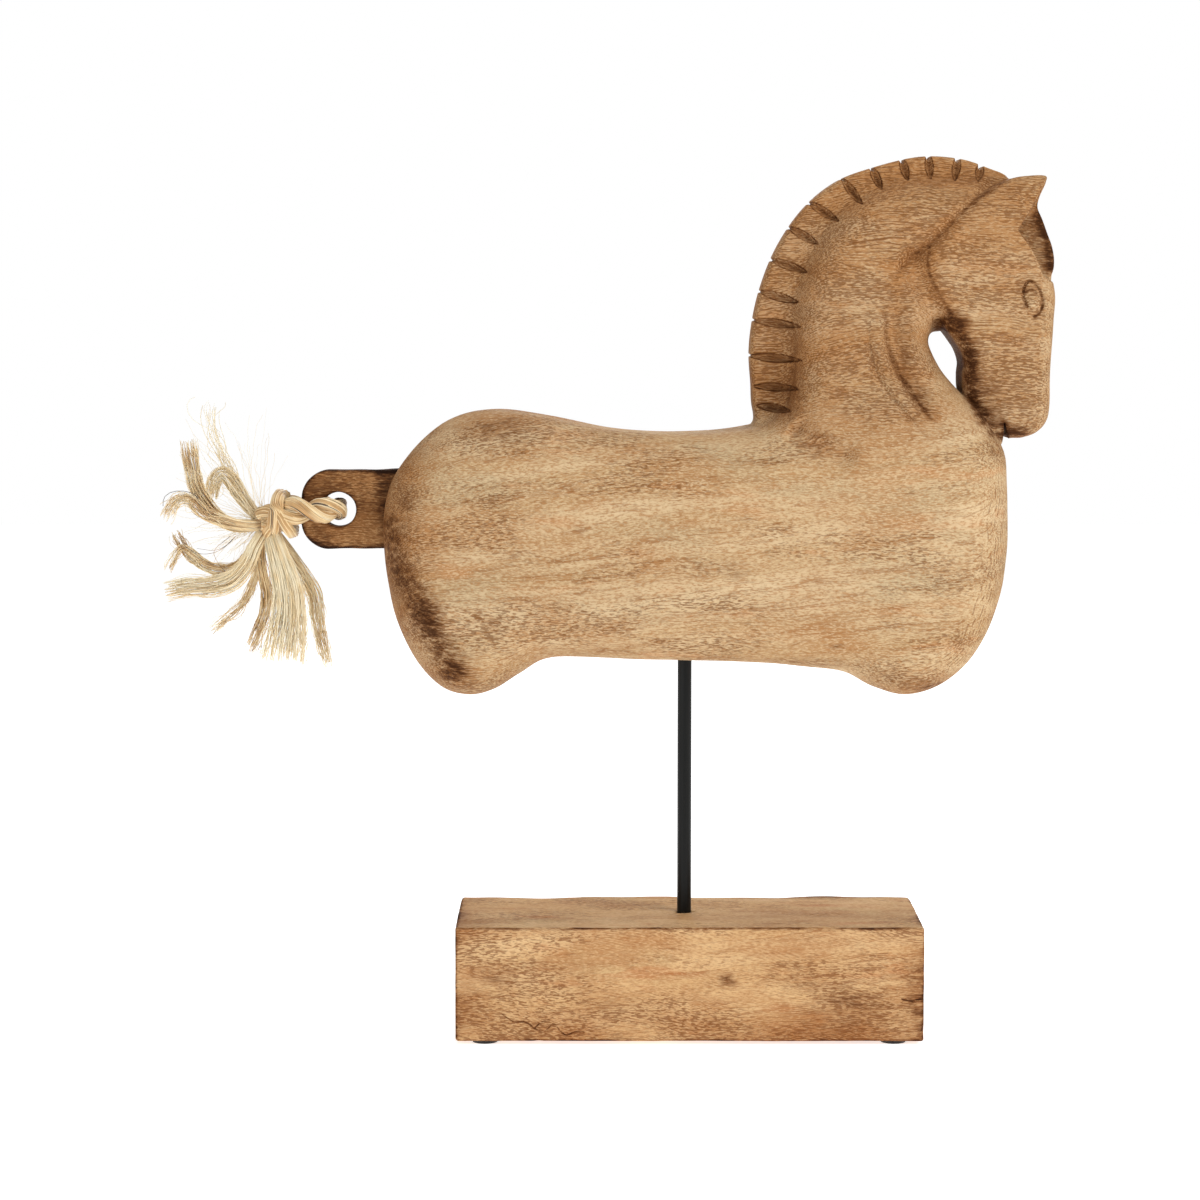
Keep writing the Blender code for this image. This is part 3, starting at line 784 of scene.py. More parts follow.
class BaseShape:
    """A sawn block with eased, slightly worn edges, a blind front crack and the rod's bores."""

    def __init__(self):
        self.low, self.high = box_of("base_block")
        self.cracks = [curve_through(route) for route in CRACKS]

    def __call__(self, points):
        x, y, z = points.T
        wear = waves(points, 60, 21)
        nick = np.clip(waves(points * [1, 1.3, 1.3], 17, 22) - 0.55, 0, 1)
        edge = np.clip(BASE_EDGE + 0.5 * wear + 2.2 * nick, 0.7, 3.5)
        middle, half = (self.low + self.high) / 2, (self.high - self.low) / 2
        q = np.abs(points - middle) - half + edge[:, None]
        body = np.linalg.norm(np.maximum(q, 0), axis=1) + np.minimum(q.max(1), 0) - edge
        body = body + 0.16 * waves(points, 90, 23) + 0.06 * waves(points, 14, 24) + 0.16
        rear = ramp(y, 40, 50) * ramp(z, self.high[2] - 8, self.high[2])
        body = body + rear * (0.5 + 0.45 * np.sin(x / 19) + 0.25 * np.sin(x / 7.3))
        for line in self.cracks:
            gap, along = distance_to(line, x, z)
            open_share = np.sin(math.pi * np.clip(along, 0.02, 0.98)) ** 0.5
            body = body + 0.9 * bell(gap, 0.3) * ramp(-y, 44, 48) * open_share
        radius = np.hypot(x, y)
        bore = radius - ROD_BORE_RADIUS - 0.5 * bell(z - self.high[2], 0.8)
        counter = np.maximum(radius - COUNTERBORE_RADIUS, z - self.low[2] - COUNTERBORE_DEPTH)
        return np.maximum(body, np.maximum(-bore, -counter))


def make_base(material):
    shape = BaseShape()
    low, high = shape.low, shape.high

    def edge_distance(p):
        return np.sort(np.minimum(p - low, high - p), axis=1)[:, 1]

    def crack_distance(x, z):
        return np.min([distance_to(line, x, z)[0] for line in shape.cracks], 0)

    def closer_to_edges(reach):
        def wanted(p):
            bore = np.abs(np.hypot(p[:, 0], p[:, 1]) - ROD_BORE_RADIUS) < 2.5
            crack = (p[:, 1] < low[1] + 2) & (crack_distance(p[:, 0], p[:, 2]) < 3)
            return (edge_distance(p) < reach) | crack | bore
        return wanted

    mesh = net_mesh("base", shape, BASE_GRID, [closer_to_edges(7), closer_to_edges(3.2)])
    points = points_of(mesh)
    x, y, z = points.T
    edges = edge_distance(points)
    front = ramp(-y, 20, 45)
    scorch_and_shade = 0.95 * bell(edges, 1.3) * (0.75 + 0.35 * waves(points, 45, 31))
    scorch_and_shade += 0.2 * bell(edges, 7) * ramp(waves(points, 60, 32), -0.3, 0.8)
    scorch_and_shade += spots(BASE_SCORCH, x, z) * front
    for line in shape.cracks:
        gap, _ = distance_to(line, x, z)
        scorch_and_shade += 0.8 * bell(gap, 0.4) * ramp(-y, 44, 48)
    scorch_and_shade += 0.3 * ramp(-y, -30, -48) * ramp(waves(points, 80, 33), -0.2, 0.9)
    ends = ramp(np.abs(x - (low[0] + high[0]) / 2), 122, 131)
    scorch_and_shade += 0.3 * ends * ramp(waves(points, 50, 34), -0.5, 0.8)
    add_values(mesh, "scorch_and_shade", np.clip(scorch_and_shade, 0, 1))
    tone = 0.22 + 0.3 * waves(points * [0.5, 1, 1.6], 60, 35) + 0.2 * bell(edges, 12)
    tone += 0.5 * spot(x, z, 84, 26, 34, 20) * front
    tone = tone * (1 - 0.85 * ramp(z, high[2] - 2, high[2] - 0.5)) + 0.2 * ramp(-x, 95, 125)
    add_values(mesh, "tone", np.clip(tone, 0, 1))
    place_mesh("wooden_base", mesh, material, "stand", "base_block")


TAB_GRID = 0.9
TAB_CORNER = 15.5
TAB_HOLE_RADIUS = 9.5
TAB_EDGE = 1.6


class TabShape:
    """The tail tab: a flat tenon with two round corners, a rope hole and worn edges."""

    def __init__(self):
        self.low, self.high = box_of("tail_tab")
        self.hole = np.array([HOLE.x - ROD_X, 0, HOLE.z]) / MM

    def __call__(self, points):
        x, y, z = points.T
        middle, half = (self.low[2] + self.high[2]) / 2, (self.high[2] - self.low[2]) / 2
        lean = 0.012 * (x - self.hole[0])
        u = self.low[0] + TAB_CORNER - x
        v = np.abs(z - middle - lean) - (half - 0.3 - TAB_CORNER)
        side = np.hypot(np.maximum(u, 0), np.maximum(v, 0)) + np.minimum(np.maximum(u, v), 0) - TAB_CORNER
        side = np.maximum(side, x - self.high[0])
        side = side + 0.22 * waves(points, 24, 41)
        hole = np.hypot(x - self.hole[0], z - self.hole[2]) - TAB_HOLE_RADIUS - 0.3
        side = smooth_cut(side, hole - 0.14 * waves(points, 12, 43), 0.8)
        thick = self.high[1] + 0.12 * waves(points, 30, 42)
        return slab(side, np.abs(y), thick, TAB_EDGE + 0.35 * waves(points, 15, 44))

    def depth_inside(self, points):
        """How far each point lies inside the tab's outline."""
        x, _, z = points.T
        half = (self.high[2] - self.low[2]) / 2
        u = x - self.low[0]
        v = half - np.abs(z - (self.low[2] + self.high[2]) / 2)
        corner = TAB_CORNER - np.hypot(np.maximum(TAB_CORNER - u, 0), np.maximum(TAB_CORNER - v, 0))
        return np.where((u < TAB_CORNER) & (v < TAB_CORNER), corner, np.minimum(u, v))


def make_tab(material):
    shape = TabShape()

    def near_rim(p):
        shown = (np.abs(p[:, 1]) > shape.high[1] - 3) & (p[:, 0] < shape.hole[0] + 30)
        return shown & (shape.depth_inside(p) < 3.5)

    mesh = net_mesh("tab", shape, TAB_GRID, [near_rim])
    points = points_of(mesh)
    x, y, z = points.T
    ring = np.abs(np.hypot(x - shape.hole[0], z - shape.hole[2]) - TAB_HOLE_RADIUS)
    scorch_and_shade = 0.12 + 0.8 * bell(shape.depth_inside(points), 1.8) + 0.5 * bell(ring, 1.5)
    scorch_and_shade += 0.18 * waves(points, 22, 45) + 0.5 * ramp(x, shape.hole[0] + 17, shape.hole[0] + 26)
    scorch_and_shade -= 0.5 * bell(z - shape.low[2] - 5.5, 1.6) * ramp(x, shape.hole[0] - 6, shape.hole[0])
    add_values(mesh, "scorch_and_shade", np.clip(scorch_and_shade, 0, 1))
    add_values(mesh, "tone", 0.45 + 0.3 * waves(points * [0.5, 1, 1.5], 26, 46))
    place_mesh("wooden_tail_tab", mesh, material, "horse", "tail_tab")


# ---------------------------------------------------------------- materials
# Each wood's tones, in screen values. pitch, in rows per metre, and fall say how close and how
# steep its wavy rows are. rows, pores and rings say how strongly the rows, the stipple and the
# growth rings on the chest show.
MANGO = {
    "light": (210, 184, 146), "middle": (184, 151, 110), "washed": (168, 119, 73),
    "line": (108, 64, 30), "burnt_and_shade": (60, 31, 10), "grey": (166, 150, 118), "rusty": (194, 136, 88),
    "rows": 1.0, "pores": 1.0, "pitch": 680.0, "fall": 0.0, "rings": 0.75,
}
BLOCK_WOOD = {
    "light": (222, 188, 142), "middle": (206, 166, 118), "washed": (168, 115, 70),
    "line": (112, 62, 30), "burnt_and_shade": (48, 24, 10), "grey": (186, 162, 118), "rusty": (184, 106, 58),
    "rows": 0.9, "pores": 0.6, "pitch": 880.0, "fall": 0.17, "rings": 0.0,
}
TAB_WOOD = {
    "light": (200, 156, 106), "middle": (168, 122, 78), "washed": (134, 90, 52),
    "line": (84, 48, 24), "burnt_and_shade": (32, 15, 7), "grey": (150, 112, 76), "rusty": (150, 92, 52),
    "rows": 0.9, "pores": 1.0, "pitch": 560.0, "fall": 0.0, "rings": 0.0,
}
WOOD_TONES = ("light", "middle", "washed", "line", "burnt_and_shade", "grey", "rusty")


def carved_wood(name, wood):
    """Grain along X: growth bands, pore dashes, a brown wash, torch scorch and fine fibres, with painted
    highlights on the crests between the rows; on the horse the wash and the scorch also carry painted shade
    and highlights.
    """
    s = Shader(name, Specular_IOR_Level=0.25, IOR=1.22)
    light, middle, washed, line, burnt_and_shade, grey, rusty = (rgb(*wood[tone]) for tone in WOOD_TONES)
    lift = s.noise((6, 9, 9)) * 0.02 + s.noise((40, 50, 50), 1) * 0.0014
    sway = s.node("CombineXYZ", 0, {1: lift, 2: lift})
    bent = s.node("VectorMath", 0, {0: s.here, 1: sway}, operation="ADD")

    def grained(scale, detail=3.0, roughness=0.6, lean=0.0):
        return s.noise(scale, detail, roughness, lean, bent)

    def part(vector, axis):
        return s.node("SeparateXYZ", axis, {0: vector})

    tone = s.attribute("tone")
    scorch_and_shade = s.attribute("scorch_and_shade")
    marked = tone + scorch_and_shade
    plain = (1.0 - tone * 1.3).clamped()

    # Growth bands, and the thin brown lines between them. The layers follow the block's depth,
    # so that they crowd into arcs where the sides turn in.
    across = part(bent, 1)
    bands = grained((3, 18, 60), lean=7)
    colour = s.mix(s.within(bands, 0.36, 0.72), middle, light)
    layers = (bands * 10.0 + across * 330.0).folded()
    streak = grained((7, 40, 150), lean=7)
    seam = s.within(layers, 0.03, 0.16, 1, 0) * s.within(streak, 0.4, 0.62, 0.1, 0.8)
    seam = s.math("MAXIMUM", seam, s.within(streak, 0.54, 0.72, 0, 0.4))
    colour = s.mix(seam * plain, colour, s.mix(0.55, washed, line))

    # Patches of another cast: greenish grey, and rust.
    cast = grained((12, 28, 36), roughness=0.55)
    colour = s.mix(s.within(cast, 0.5, 0.68, 0, 0.42) * plain, colour, grey)
    warm = grained((18, 60, 80))
    colour = s.mix(s.within(warm, 0.55, 0.72, 0, 0.5), colour, rusty)

    # The brown wash, uneven; on the horse it also carries painted shade and painted highlights.
    wash_and_shading = tone * 0.85 + s.within(grained((13, 26, 32)), 0.36, 0.7, -0.2, 0.5)
    wash_and_shading = wash_and_shading + s.within(grained((60, 130, 160), 2), 0.58, 0.75, 0, 0.35)
    colour = s.mix(s.math("MAXIMUM", wash_and_shading, 0.0).clamped(), colour, washed)

    # Short pore dashes, thicker where the wash, the burn and the horse's painted shade are.
    crowd = s.within(grained((16, 44, 55), 2.5), 0.34, 0.66) * 0.75 + marked * 0.5
    level = 0.62 - s.math("MINIMUM", crowd, 1.25) * 0.14
    pore = s.within(grained((270, 1350, 1350), 1.5, 0.55) - level, 0.0, 0.06)
    pore = pore * s.within(crowd, 0.1, 0.9, 0.2, 0.8)

    # Longer lines in wavy rows, on the washed and burnt wood and the horse's painted shade.
    pitch = wood["pitch"]
    drift = grained((18, 70, 70), 1.5, 0.5)
    turns = part(bent, 2) * pitch + across * (0.91 * pitch)
    if wood["fall"]:
        turns = turns + part(bent, 0) * (pitch * wood["fall"])
    turns = (turns + drift * 8.0).folded()
    broken = grained((45, 1.25 * pitch, 1.25 * pitch), 2.0)
    row = s.within(s.within(broken, 0.4, 0.66, 0.0, 0.27) - turns, 0.0, 0.12)
    row = row * (marked * (1.1 * wood["rows"])).clamped()
    # Painted highlight on the crests between the rows.
    ridge_highlight = s.within(turns, 0.3, 0.48) * s.within(broken, 0.42, 0.6)
    dash = s.math("MAXIMUM", pore, row)

    # Growth rings that bend round with the chest, where its sides turn in.
    if wood["rings"]:
        depth = s.math("ABSOLUTE", part(s.here, 1), 0.0)
        turning = s.within(part(s.here, 0), 0.1, 0.145) * s.within(depth, 0.0405, 0.0455, 1, 0)
        turning = turning * s.within(part(s.here, 2), 0.3, 0.335, 1, 0)
        arcs = (depth * 620.0 + drift * 1.6).folded()
        breaks = s.within(s.noise((260, 260, 260), 2, 0.6), 0.42, 0.58, 0.02, 0.2)
        arc = s.within(breaks - arcs, 0.0, 0.1)
        dash = s.math("MAXIMUM", dash, arc * (turning * wood["rings"]))

    # The fine stipple of cut fibres.
    stipple = grained((400, 1350, 1350), 1.5, 0.7)
    speck = s.within(stipple, 0.5, 0.63)
    fleck = s.within(stipple, 0.37, 0.48, 1, 0) * (0.6 - tone * 0.4).clamped()
    colour = s.mix(fleck * wood["pores"], colour, light)
    # Painted highlight on the crests between the rows.
    colour = s.mix(ridge_highlight * 0.3, colour, light)
    colour = s.mix(speck * (0.6 * wood["pores"]), colour, washed)

    # The torch's burn, with the horse's painted shade that shares its attribute, mottled, over all of these,
    # and the dashes over it.
    mottle = s.within(grained((60, 260, 320), 5, 0.75), 0.34, 0.66, 0.35, 1.35)
    burn_and_shade = scorch_and_shade * mottle
    colour = s.mix(s.within(burn_and_shade, 0.04, 0.62, 0, 0.85), colour, line)
    colour = s.mix(s.within(burn_and_shade, 0.45, 1.1, 0, 0.92), colour, burnt_and_shade)
    colour = s.mix(dash * 0.82, colour, s.mix(s.within(burn_and_shade, 0.2, 0.7), line, burnt_and_shade))

    fine = s.bump(dash * -1.0 + speck * -0.5, 0.0003, 0.6)
    broad = s.bump(grained((50, 110, 110), 3, 0.5), 0.0012, 0.3, Normal=fine)
    return s.finish(colour, s.within(stipple, 0.3, 0.7, 0.52, 0.72), broad)


def painted_steel():
    """Satin black powder coat: a fine orange peel and a few rubbed places."""
    s = Shader("black_coat", Specular_IOR_Level=0.2)
    rub = s.noise((60, 60, 14), 3)
    peel = s.noise((900, 900, 900))
    colour = s.mix(s.within(rub, 0.55, 0.75), rgb(8, 9, 8), rgb(20, 20, 18))
    return s.finish(colour, s.within(rub, 0.4, 0.7, 0.33, 0.5), s.bump(peel, 0.0002, 0.35))


def zinc():
    s = Shader("zinc_plate", Metallic=1.0)
    spangle = s.noise((300, 300, 300), 3)
    colour = s.mix(s.within(spangle, 0.35, 0.7), rgb(196, 197, 194), rgb(158, 160, 160))
    return s.finish(colour, s.within(spangle, 0.3, 0.7, 0.24, 0.45), s.bump(spangle, 0.0001, 0.3))


def felt():
    s = Shader("black_felt", Sheen_Weight=0.5)
    fuzz = s.noise((1500, 1500, 1500), 3, 0.7)
    colour = s.mix(s.within(fuzz, 0.35, 0.7), rgb(24, 24, 25), rgb(58, 57, 56))
    return s.finish(colour, 0.95, s.bump(fuzz, 0.0006, 0.8))


def sisal():
    s = Shader("sisal_fibre", Sheen_Weight=0.25, Sheen_Roughness=0.4, Specular_IOR_Level=0.4)
    tone = s.attribute("shade") + s.within(s.noise((70, 70, 70)), 0.3, 0.7, -0.14, 0.14)
    colour = s.mix(s.within(tone, 0.02, 0.45), rgb(255, 242, 210), rgb(245, 220, 172))
    colour = s.mix(s.within(tone, 0.4, 0.8), colour, rgb(200, 158, 104))
    colour = s.mix(s.within(tone, 0.86, 1.0), colour, rgb(84, 70, 60))
    grit = s.noise((900, 900, 900), 1)
    return s.finish(colour, s.within(grit, 0.3, 0.7, 0.36, 0.55), s.bump(grit, 0.0001, 0.3))


def dress_hardware():
    """The CAD's own turned and stamped pieces stay, with real finishes and eased edges."""
    finishes = {"black_steel": painted_steel(), "zinc_plated_steel": zinc(), "black_felt": felt()}
    slots = dict.fromkeys(("stand_rod", "belly_washer"), "black_steel")
    slots.update(dict.fromkeys(("base_washer", "base_nut", "belly_insert"), "zinc_plated_steel"))
    slots.update({f"foot_pad_{n}": "black_felt" for n in range(1, 5)})
    for node, slot in slots.items():
        piece = frame["nodes"][node]
        piece.data.materials.clear()
        piece.data.materials.append(finishes[slot])
        edge = piece.modifiers.new("eased_edges", "BEVEL")
        edge.width = 0.0003
        edge.segments = 2
        edge.limit_method = "ANGLE"
        edge.angle_limit = math.radians(50)


# ---------------------------------------------------------------- rope and tassel
# Millimetres from the middle of the tab's hole. The rope's route is half of its loop, and
# the other half is its mirror image across the XZ plane.
ROPE_HALF = [
    (-44.5, -6.1, -6), (-38.5, -6.4, -4), (-34.5, -7.2, -2.5), (-31, -9.8, -1.2),
    (-27, -12.7, -0.3), (-21, -13.8, 0), (-13, -13.9, 0), (-7, -12.9, 0), (-2.6, -9.6, 0),
    (-0.6, -4.6, 0),
]
ROPE_PITCH = 36
ROPE_STEPS = 150
ROUTE_STEPS = 120
PLY_RADIUS = 3.7
PLY_OFFSET = 3.5
KNOT_STEPS = 110
TUFT_STEPS = 30
TUFT_RIBS = 90
LOOSE_STEPS = 26
LOOSE_COUNT = 150
CORE_SIDES = 20
SKIN_SIDES = 4
FIBRE_SIDES = 3

# Each tuft: half widths at the root, middle and tip, how many fibres, their shade from pale to
# brown, the share of frizz, then the route. tuft_hook stands for no node of its own.
TUFTS = {
    "tuft_up_thick": ((3.2, 4.2, 3.8), 120, 0.4, 0.7, [
        (-40, -3, -8), (-49, -4, -9), (-58, -6, -9), (-67, -8, -5), (-75, -9, 4), (-81, -9, 16),
        (-85, -8, 40)]),
    "tuft_curl": ((2.6, 4.4, 3.2), 90, 0.3, 0.8, [
        (-40, 2, -7), (-48, 4, -3), (-55, 7, 5), (-61, 9, 14), (-67, 10, 19.5), (-72, 11, 15),
        (-74, 12, 5)]),
    "tuft_wisp": ((1.6, 2.6, 3.8), 22, 0.1, 2.8, [
        (-41, 4, -6), (-50, 9, 1), (-60, 14, 14), (-69, 17, 31), (-74, 18, 50), (-73, 17, 62)]),
    "tuft_left": ((2.4, 3.4, 2.4), 70, 0.45, 1.2, [
        (-41, -4, -9), (-52, -10, -9), (-64, -15, -6), (-75, -19, -1), (-83, -20, 6),
        (-90, -20, 5), (-97, -20, -5)]),
    "tuft_loop": ((2.2, 3.2, 2.2), 60, 0.42, 1.2, [
        (-42, 3, -12), (-50, 4, -24), (-61, 4, -34), (-73, 3, -34), (-84, 2, -27), (-90, 2, -19),
        (-94, 2, -12)]),
    "tuft_hook": ((1.6, 2.0, 1.8), 34, 0.5, 1.0, [
        (-66, 3, -34), (-76, 1, -31), (-85, 0, -24), (-90, -1, -22), (-94, -1, -28),
        (-97.5, -1, -36)]),
    "tuft_broad_left": ((3.2, 5.6, 4.4), 150, 0.25, 0.7, [
        (-42, -5, -12), (-47, -8, -20), (-52, -12, -31), (-60, -15, -39.5), (-71, -16, -43),
        (-85, -16, -43.5), (-98, -16, -46)]),
    "tuft_thin": ((1.8, 2.2, 1.6), 44, 0.4, 1.6, [
        (-43, 5, -13), (-47, 10, -27), (-51, 14, -43), (-57.5, 17, -55), (-67, 19, -64),
        (-77, 20, -72.5)]),
    "tuft_grey": ((2.4, 3.0, 3.0), 70, 0.68, 0.8, [
        (-42, 4, -12), (-46, 8, -25), (-45, 11, -38), (-43, 13, -50), (-44.5, 13, -62),
        (-49, 13, -74), (-53, 13, -84)]),
    "tuft_broad_down": ((4.4, 8.4, 10.5), 330, 0.14, 1.0, [
        (-39, -4, -11), (-36, -7, -20), (-32, -10, -32), (-28.5, -11, -46), (-28, -10, -60),
        (-30, -10, -74), (-31.5, -10, -87)]),
    "tuft_right": ((2.6, 4.0, 2.2), 80, 0.3, 1.1, [
        (-38, 0, -12), (-31, 3, -22), (-23, 6, -35), (-15.5, 8, -49), (-13.5, 8, -64),
        (-10.5, 8, -79), (-7, 8, -92)]),
}
# Brown fibres that bend back on themselves at the tassel's left.
DARK_LOOPS = [
    [(-58, -17, -15), (-66, -19, -22), (-76, -20, -24), (-85, -20, -20), (-88, -19, -14)],
    [(-57, -16, -14), (-62, -18, -19), (-69, -19, -22), (-79, -19, -21)],
    [(-60, -18, -14), (-69, -20, -22), (-67, -20, -29), (-63, -19, -34)],
    [(-82, -19, 7), (-79, -20, 10), (-76, -20, 3), (-70, -19, -2)],
]


def evenly(line, count):
    """A polyline's points at even spacing."""
    steps = np.r_[0, np.cumsum(np.linalg.norm(np.diff(line, axis=0), axis=1))]
    at = np.linspace(0, steps[-1], count)
    return np.stack([np.interp(at, steps, line[:, k]) for k in range(line.shape[1])], 1)


def cross_directions(lines, flat=(0, 1, 0)):
    """Two unit directions square to each line: one that keeps square to flat, and the other."""
    ahead = np.gradient(lines, axis=-2)
    ahead /= np.maximum(np.linalg.norm(ahead, axis=-1, keepdims=True), 1e-9)
    side = np.cross(ahead, np.broadcast_to(np.array(flat, float), ahead.shape))
    side /= np.maximum(np.linalg.norm(side, axis=-1, keepdims=True), 1e-6)
    return side, np.cross(ahead, side)


def tubes(lines, radii, sides=FIBRE_SIDES):
    """(points, faces) of one closed tube along each line. lines is (count, steps, 3)."""
    count, steps, _ = lines.shape
    side, up = cross_directions(lines, (0.13, 1, 0.21))
    angles = math.tau * np.arange(sides) / sides
    ring = np.cos(angles)[:, None] * side[:, :, None] + np.sin(angles)[:, None] * up[:, :, None]
    points = lines[:, :, None] + np.broadcast_to(radii, (count, steps))[:, :, None, None] * ring
    index = np.arange(count * steps * sides).reshape(count, steps, sides)
    a, b = index[:, :-1], index[:, 1:]
    walls = np.stack([a, np.roll(a, -1, 2), np.roll(b, -1, 2), b], -1).reshape(-1, 4)
    caps = [tuple(ring) for ring in index[:, 0, ::-1]] + [tuple(ring) for ring in index[:, -1]]
    return points.reshape(-1, 3), [tuple(f) for f in walls.tolist()] + caps


def wobble(rng, count, steps, size):
    """Smooth sideways wandering for many fibres, growing from the root: (count, steps)."""
    t = np.linspace(0, 1, steps)
    total = np.zeros((count, steps))
    for k in range(3):
        rate = rng.uniform(0.4, 2.5, (count, 1)) * (1 + k)
        total += np.sin(math.tau * (rate * t + rng.uniform(0, 1, (count, 1)))) / (1 + k)
    return size * total * t


def tuft_fibres(rng, route, widths, count, frizz):
    """(lines, places across) of fibres over a flat, tapering bundle that follows a route."""
    steps = TUFT_STEPS
    line = evenly(curve_through(route), TUFT_RIBS)
    t = np.linspace(0, 1, TUFT_RIBS)
    half = np.interp(t, [0, 0.5, 1], widths)
    side, depth = cross_directions(line[None])
    u = np.clip(rng.uniform(-1, 1, count) * 1.02, -1, 1)
    v = rng.uniform(-1, 1, count) * np.sqrt(1 - 0.8 * u**2)
    is_long = rng.uniform(size=count) < 0.75
    reach = np.where(is_long, rng.uniform(0.9, 1.0, count), rng.uniform(0.55, 0.9, count))
    start = rng.uniform(0, 0.04, count)
    t_fibre = start[:, None] + (reach - start)[:, None] * np.linspace(0, 1, steps)

    def at_fibre(values):
        return np.stack([np.interp(t_fibre, t, values[:, k]) for k in range(3)], -1)

    thick = np.interp(t_fibre, t, half)
    clump = 0.09 * np.sin(u * 17 + rng.uniform(0, 6))[:, None] * t_fibre
    stray = np.where(rng.uniform(size=count) < 0.14, rng.uniform(2, 5, count), 1)[:, None]
    across = (u[:, None] * (1 + 0.15 * stray * t_fibre**2) + clump) * thick
    across += wobble(rng, count, steps, 0.55 * frizz) * stray
    deep = v[:, None] * (0.34 * thick + 0.25) + wobble(rng, count, steps, 0.4 * frizz) * stray
    offset = across[..., None] * at_fibre(side[0]) + deep[..., None] * at_fibre(depth[0])
    return at_fibre(line) + offset, u


def ply_fibres(rng, line, radius, count, turns, steps):
    """Fibres that lie on the skin of a ply, winding slowly round it."""
    line = evenly(line, steps)
    side, up = cross_directions(line[None], (0.3, 0.2, 1))
    t = np.linspace(0, 1, steps)
    angle = rng.uniform(0, math.tau, (count, 1)) + math.tau * turns * t + wobble(rng, count, steps, 0.12)
    lift = np.broadcast_to(radius, steps) * (0.97 + rng.uniform(-0.05, 0.05, (count, 1)))
    lift = (lift + wobble(rng, count, steps, 0.1)) * (1 + 0.05 * np.sin(5 * angle))
    return line + lift[..., None] * (np.cos(angle)[..., None] * side + np.sin(angle)[..., None] * up)


def strand_mesh(rng, plies, fibres, fibre_radius, turns, steps):
    """(points, faces, shade) of plies, each a core tube covered with fibres."""
    points, faces, shade = [], [], []
    total = 0
    for line, radius in plies:
        core = evenly(line, steps)[None]
        skins = ply_fibres(rng, line, radius, fibres, turns, steps)
        sizes = rng.uniform(0.6, 1.25, (fibres, 1)) * fibre_radius
        tones = rng.beta(3, 2.4, fibres)
        for lines, size, sides, tone in (
            (core, np.broadcast_to(radius, steps) * 0.93, CORE_SIDES, [0.7]),
            (skins, sizes, SKIN_SIDES, tones),
        ):
            p, f = tubes(lines, size, sides)
            points.append(p)
            faces += [tuple(i + total for i in face) for face in f]
            shade.append(np.repeat(tone, steps * sides))
            total += len(p)
    return np.concatenate(points), faces, np.concatenate(shade)


def add_to_tail(name, points, faces, shade, material, *nodes):
    mesh = mesh_of(name, np.asarray(points) * MM + np.array(HOLE), faces)
    mesh.shade_smooth()
    mesh.materials.append(material)
    add_values(mesh, "shade", shade)
    piece = link(name, mesh)
    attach(piece, "tail")
    if nodes:
        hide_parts(*nodes)
    return piece


def rope_line():
    half = [np.array(p, float) for p in ROPE_HALF]
    route = half + [p * [1, -1, 1] for p in reversed(half)]
    return evenly(curve_through(route), ROUTE_STEPS)


def clear_of_tab(points):
    """Presses the rope off the tab's faces, wherever the tail may swing."""
    x, y, z = points.T
    reach = np.hypot(x, z)
    least = 7.5 - 2 * ramp(reach, 25, 29)
    low = (reach > 9.2) & (np.abs(y) > 4) & (np.abs(y) < least)
    points[:, 1] = np.where(low, np.sign(y) * (least - 0.1 * (least - np.abs(y))), y)


def make_rope(material):
    """The loop through the tab's hole: two plies laid round each other. Also its path and length."""
    rng = np.random.default_rng(11)
    line = rope_line()
    length = np.linalg.norm(np.diff(line, axis=0), axis=1).sum()
    side, up = cross_directions(line[None], (0, 0, 1))
    t = np.linspace(0, 1, len(line))
    fold = 1 - 0.2 * bell(t - 0.5, 0.14)
    offset = PLY_OFFSET * fold * (1 - 0.25 * bell(t, 0.08) - 0.25 * bell(t - 1, 0.08))
    radius = np.interp(np.linspace(0, 1, ROPE_STEPS), t, PLY_RADIUS * fold)
    plies = []
    for k in range(2):
        angle = math.tau * (length / ROPE_PITCH * t + 0.5 * k + 0.12)
        across = (offset * 0.82 * np.cos(angle))[:, None] * side[0]
        high = (offset * 1.12 * np.sin(angle))[:, None] * up[0]
        plies.append((line + across + high, radius))
    points, faces, shade = strand_mesh(rng, plies, 64, 0.34, 1.4, ROPE_STEPS)
    clear_of_tab(points)
    rope = add_to_tail("rope_loop", points, faces, shade, material, "tail_rope")
    return rope, line * MM + np.array(HOLE), length * MM


def ring_line(centre, half_width, half_height, lean, start, sweep, drift):
    """A wrap round both legs of the rope, as a tilted rounded ring that ends beside its start."""
    angle = math.radians(start) + math.radians(sweep) * np.linspace(0, 1, 60)
    wave = np.stack([np.cos(angle), np.sin(angle)])
    across, high = np.sign(wave) * np.abs(wave) ** 0.75
    along = lean * high + drift * np.linspace(-0.5, 0.5, 60)
    return np.stack([along, half_width * across, half_height * high], 1) + centre


def make_knot(material):
    rng = np.random.default_rng(12)
    wraps = [
        (ring_line((-34.6, 0, -1.8), 14.2, 9.2, 1.6, 60, 372, 2.0), 3.6),
        (ring_line((-30.2, 0, -5.4), 15.0, 8.0, -3.8, 100, 372, 2.2), 2.9),
        (ring_line((-38.8, 0, -8.0), 9.0, 6.0, 2.6, 20, 330, 2.0), 2.6),
    ]
    points, faces, shade = strand_mesh(rng, wraps, 52, 0.33, 0.7, KNOT_STEPS)
    return add_to_tail("rope_knot", points, faces, shade, material, "tail_knot")


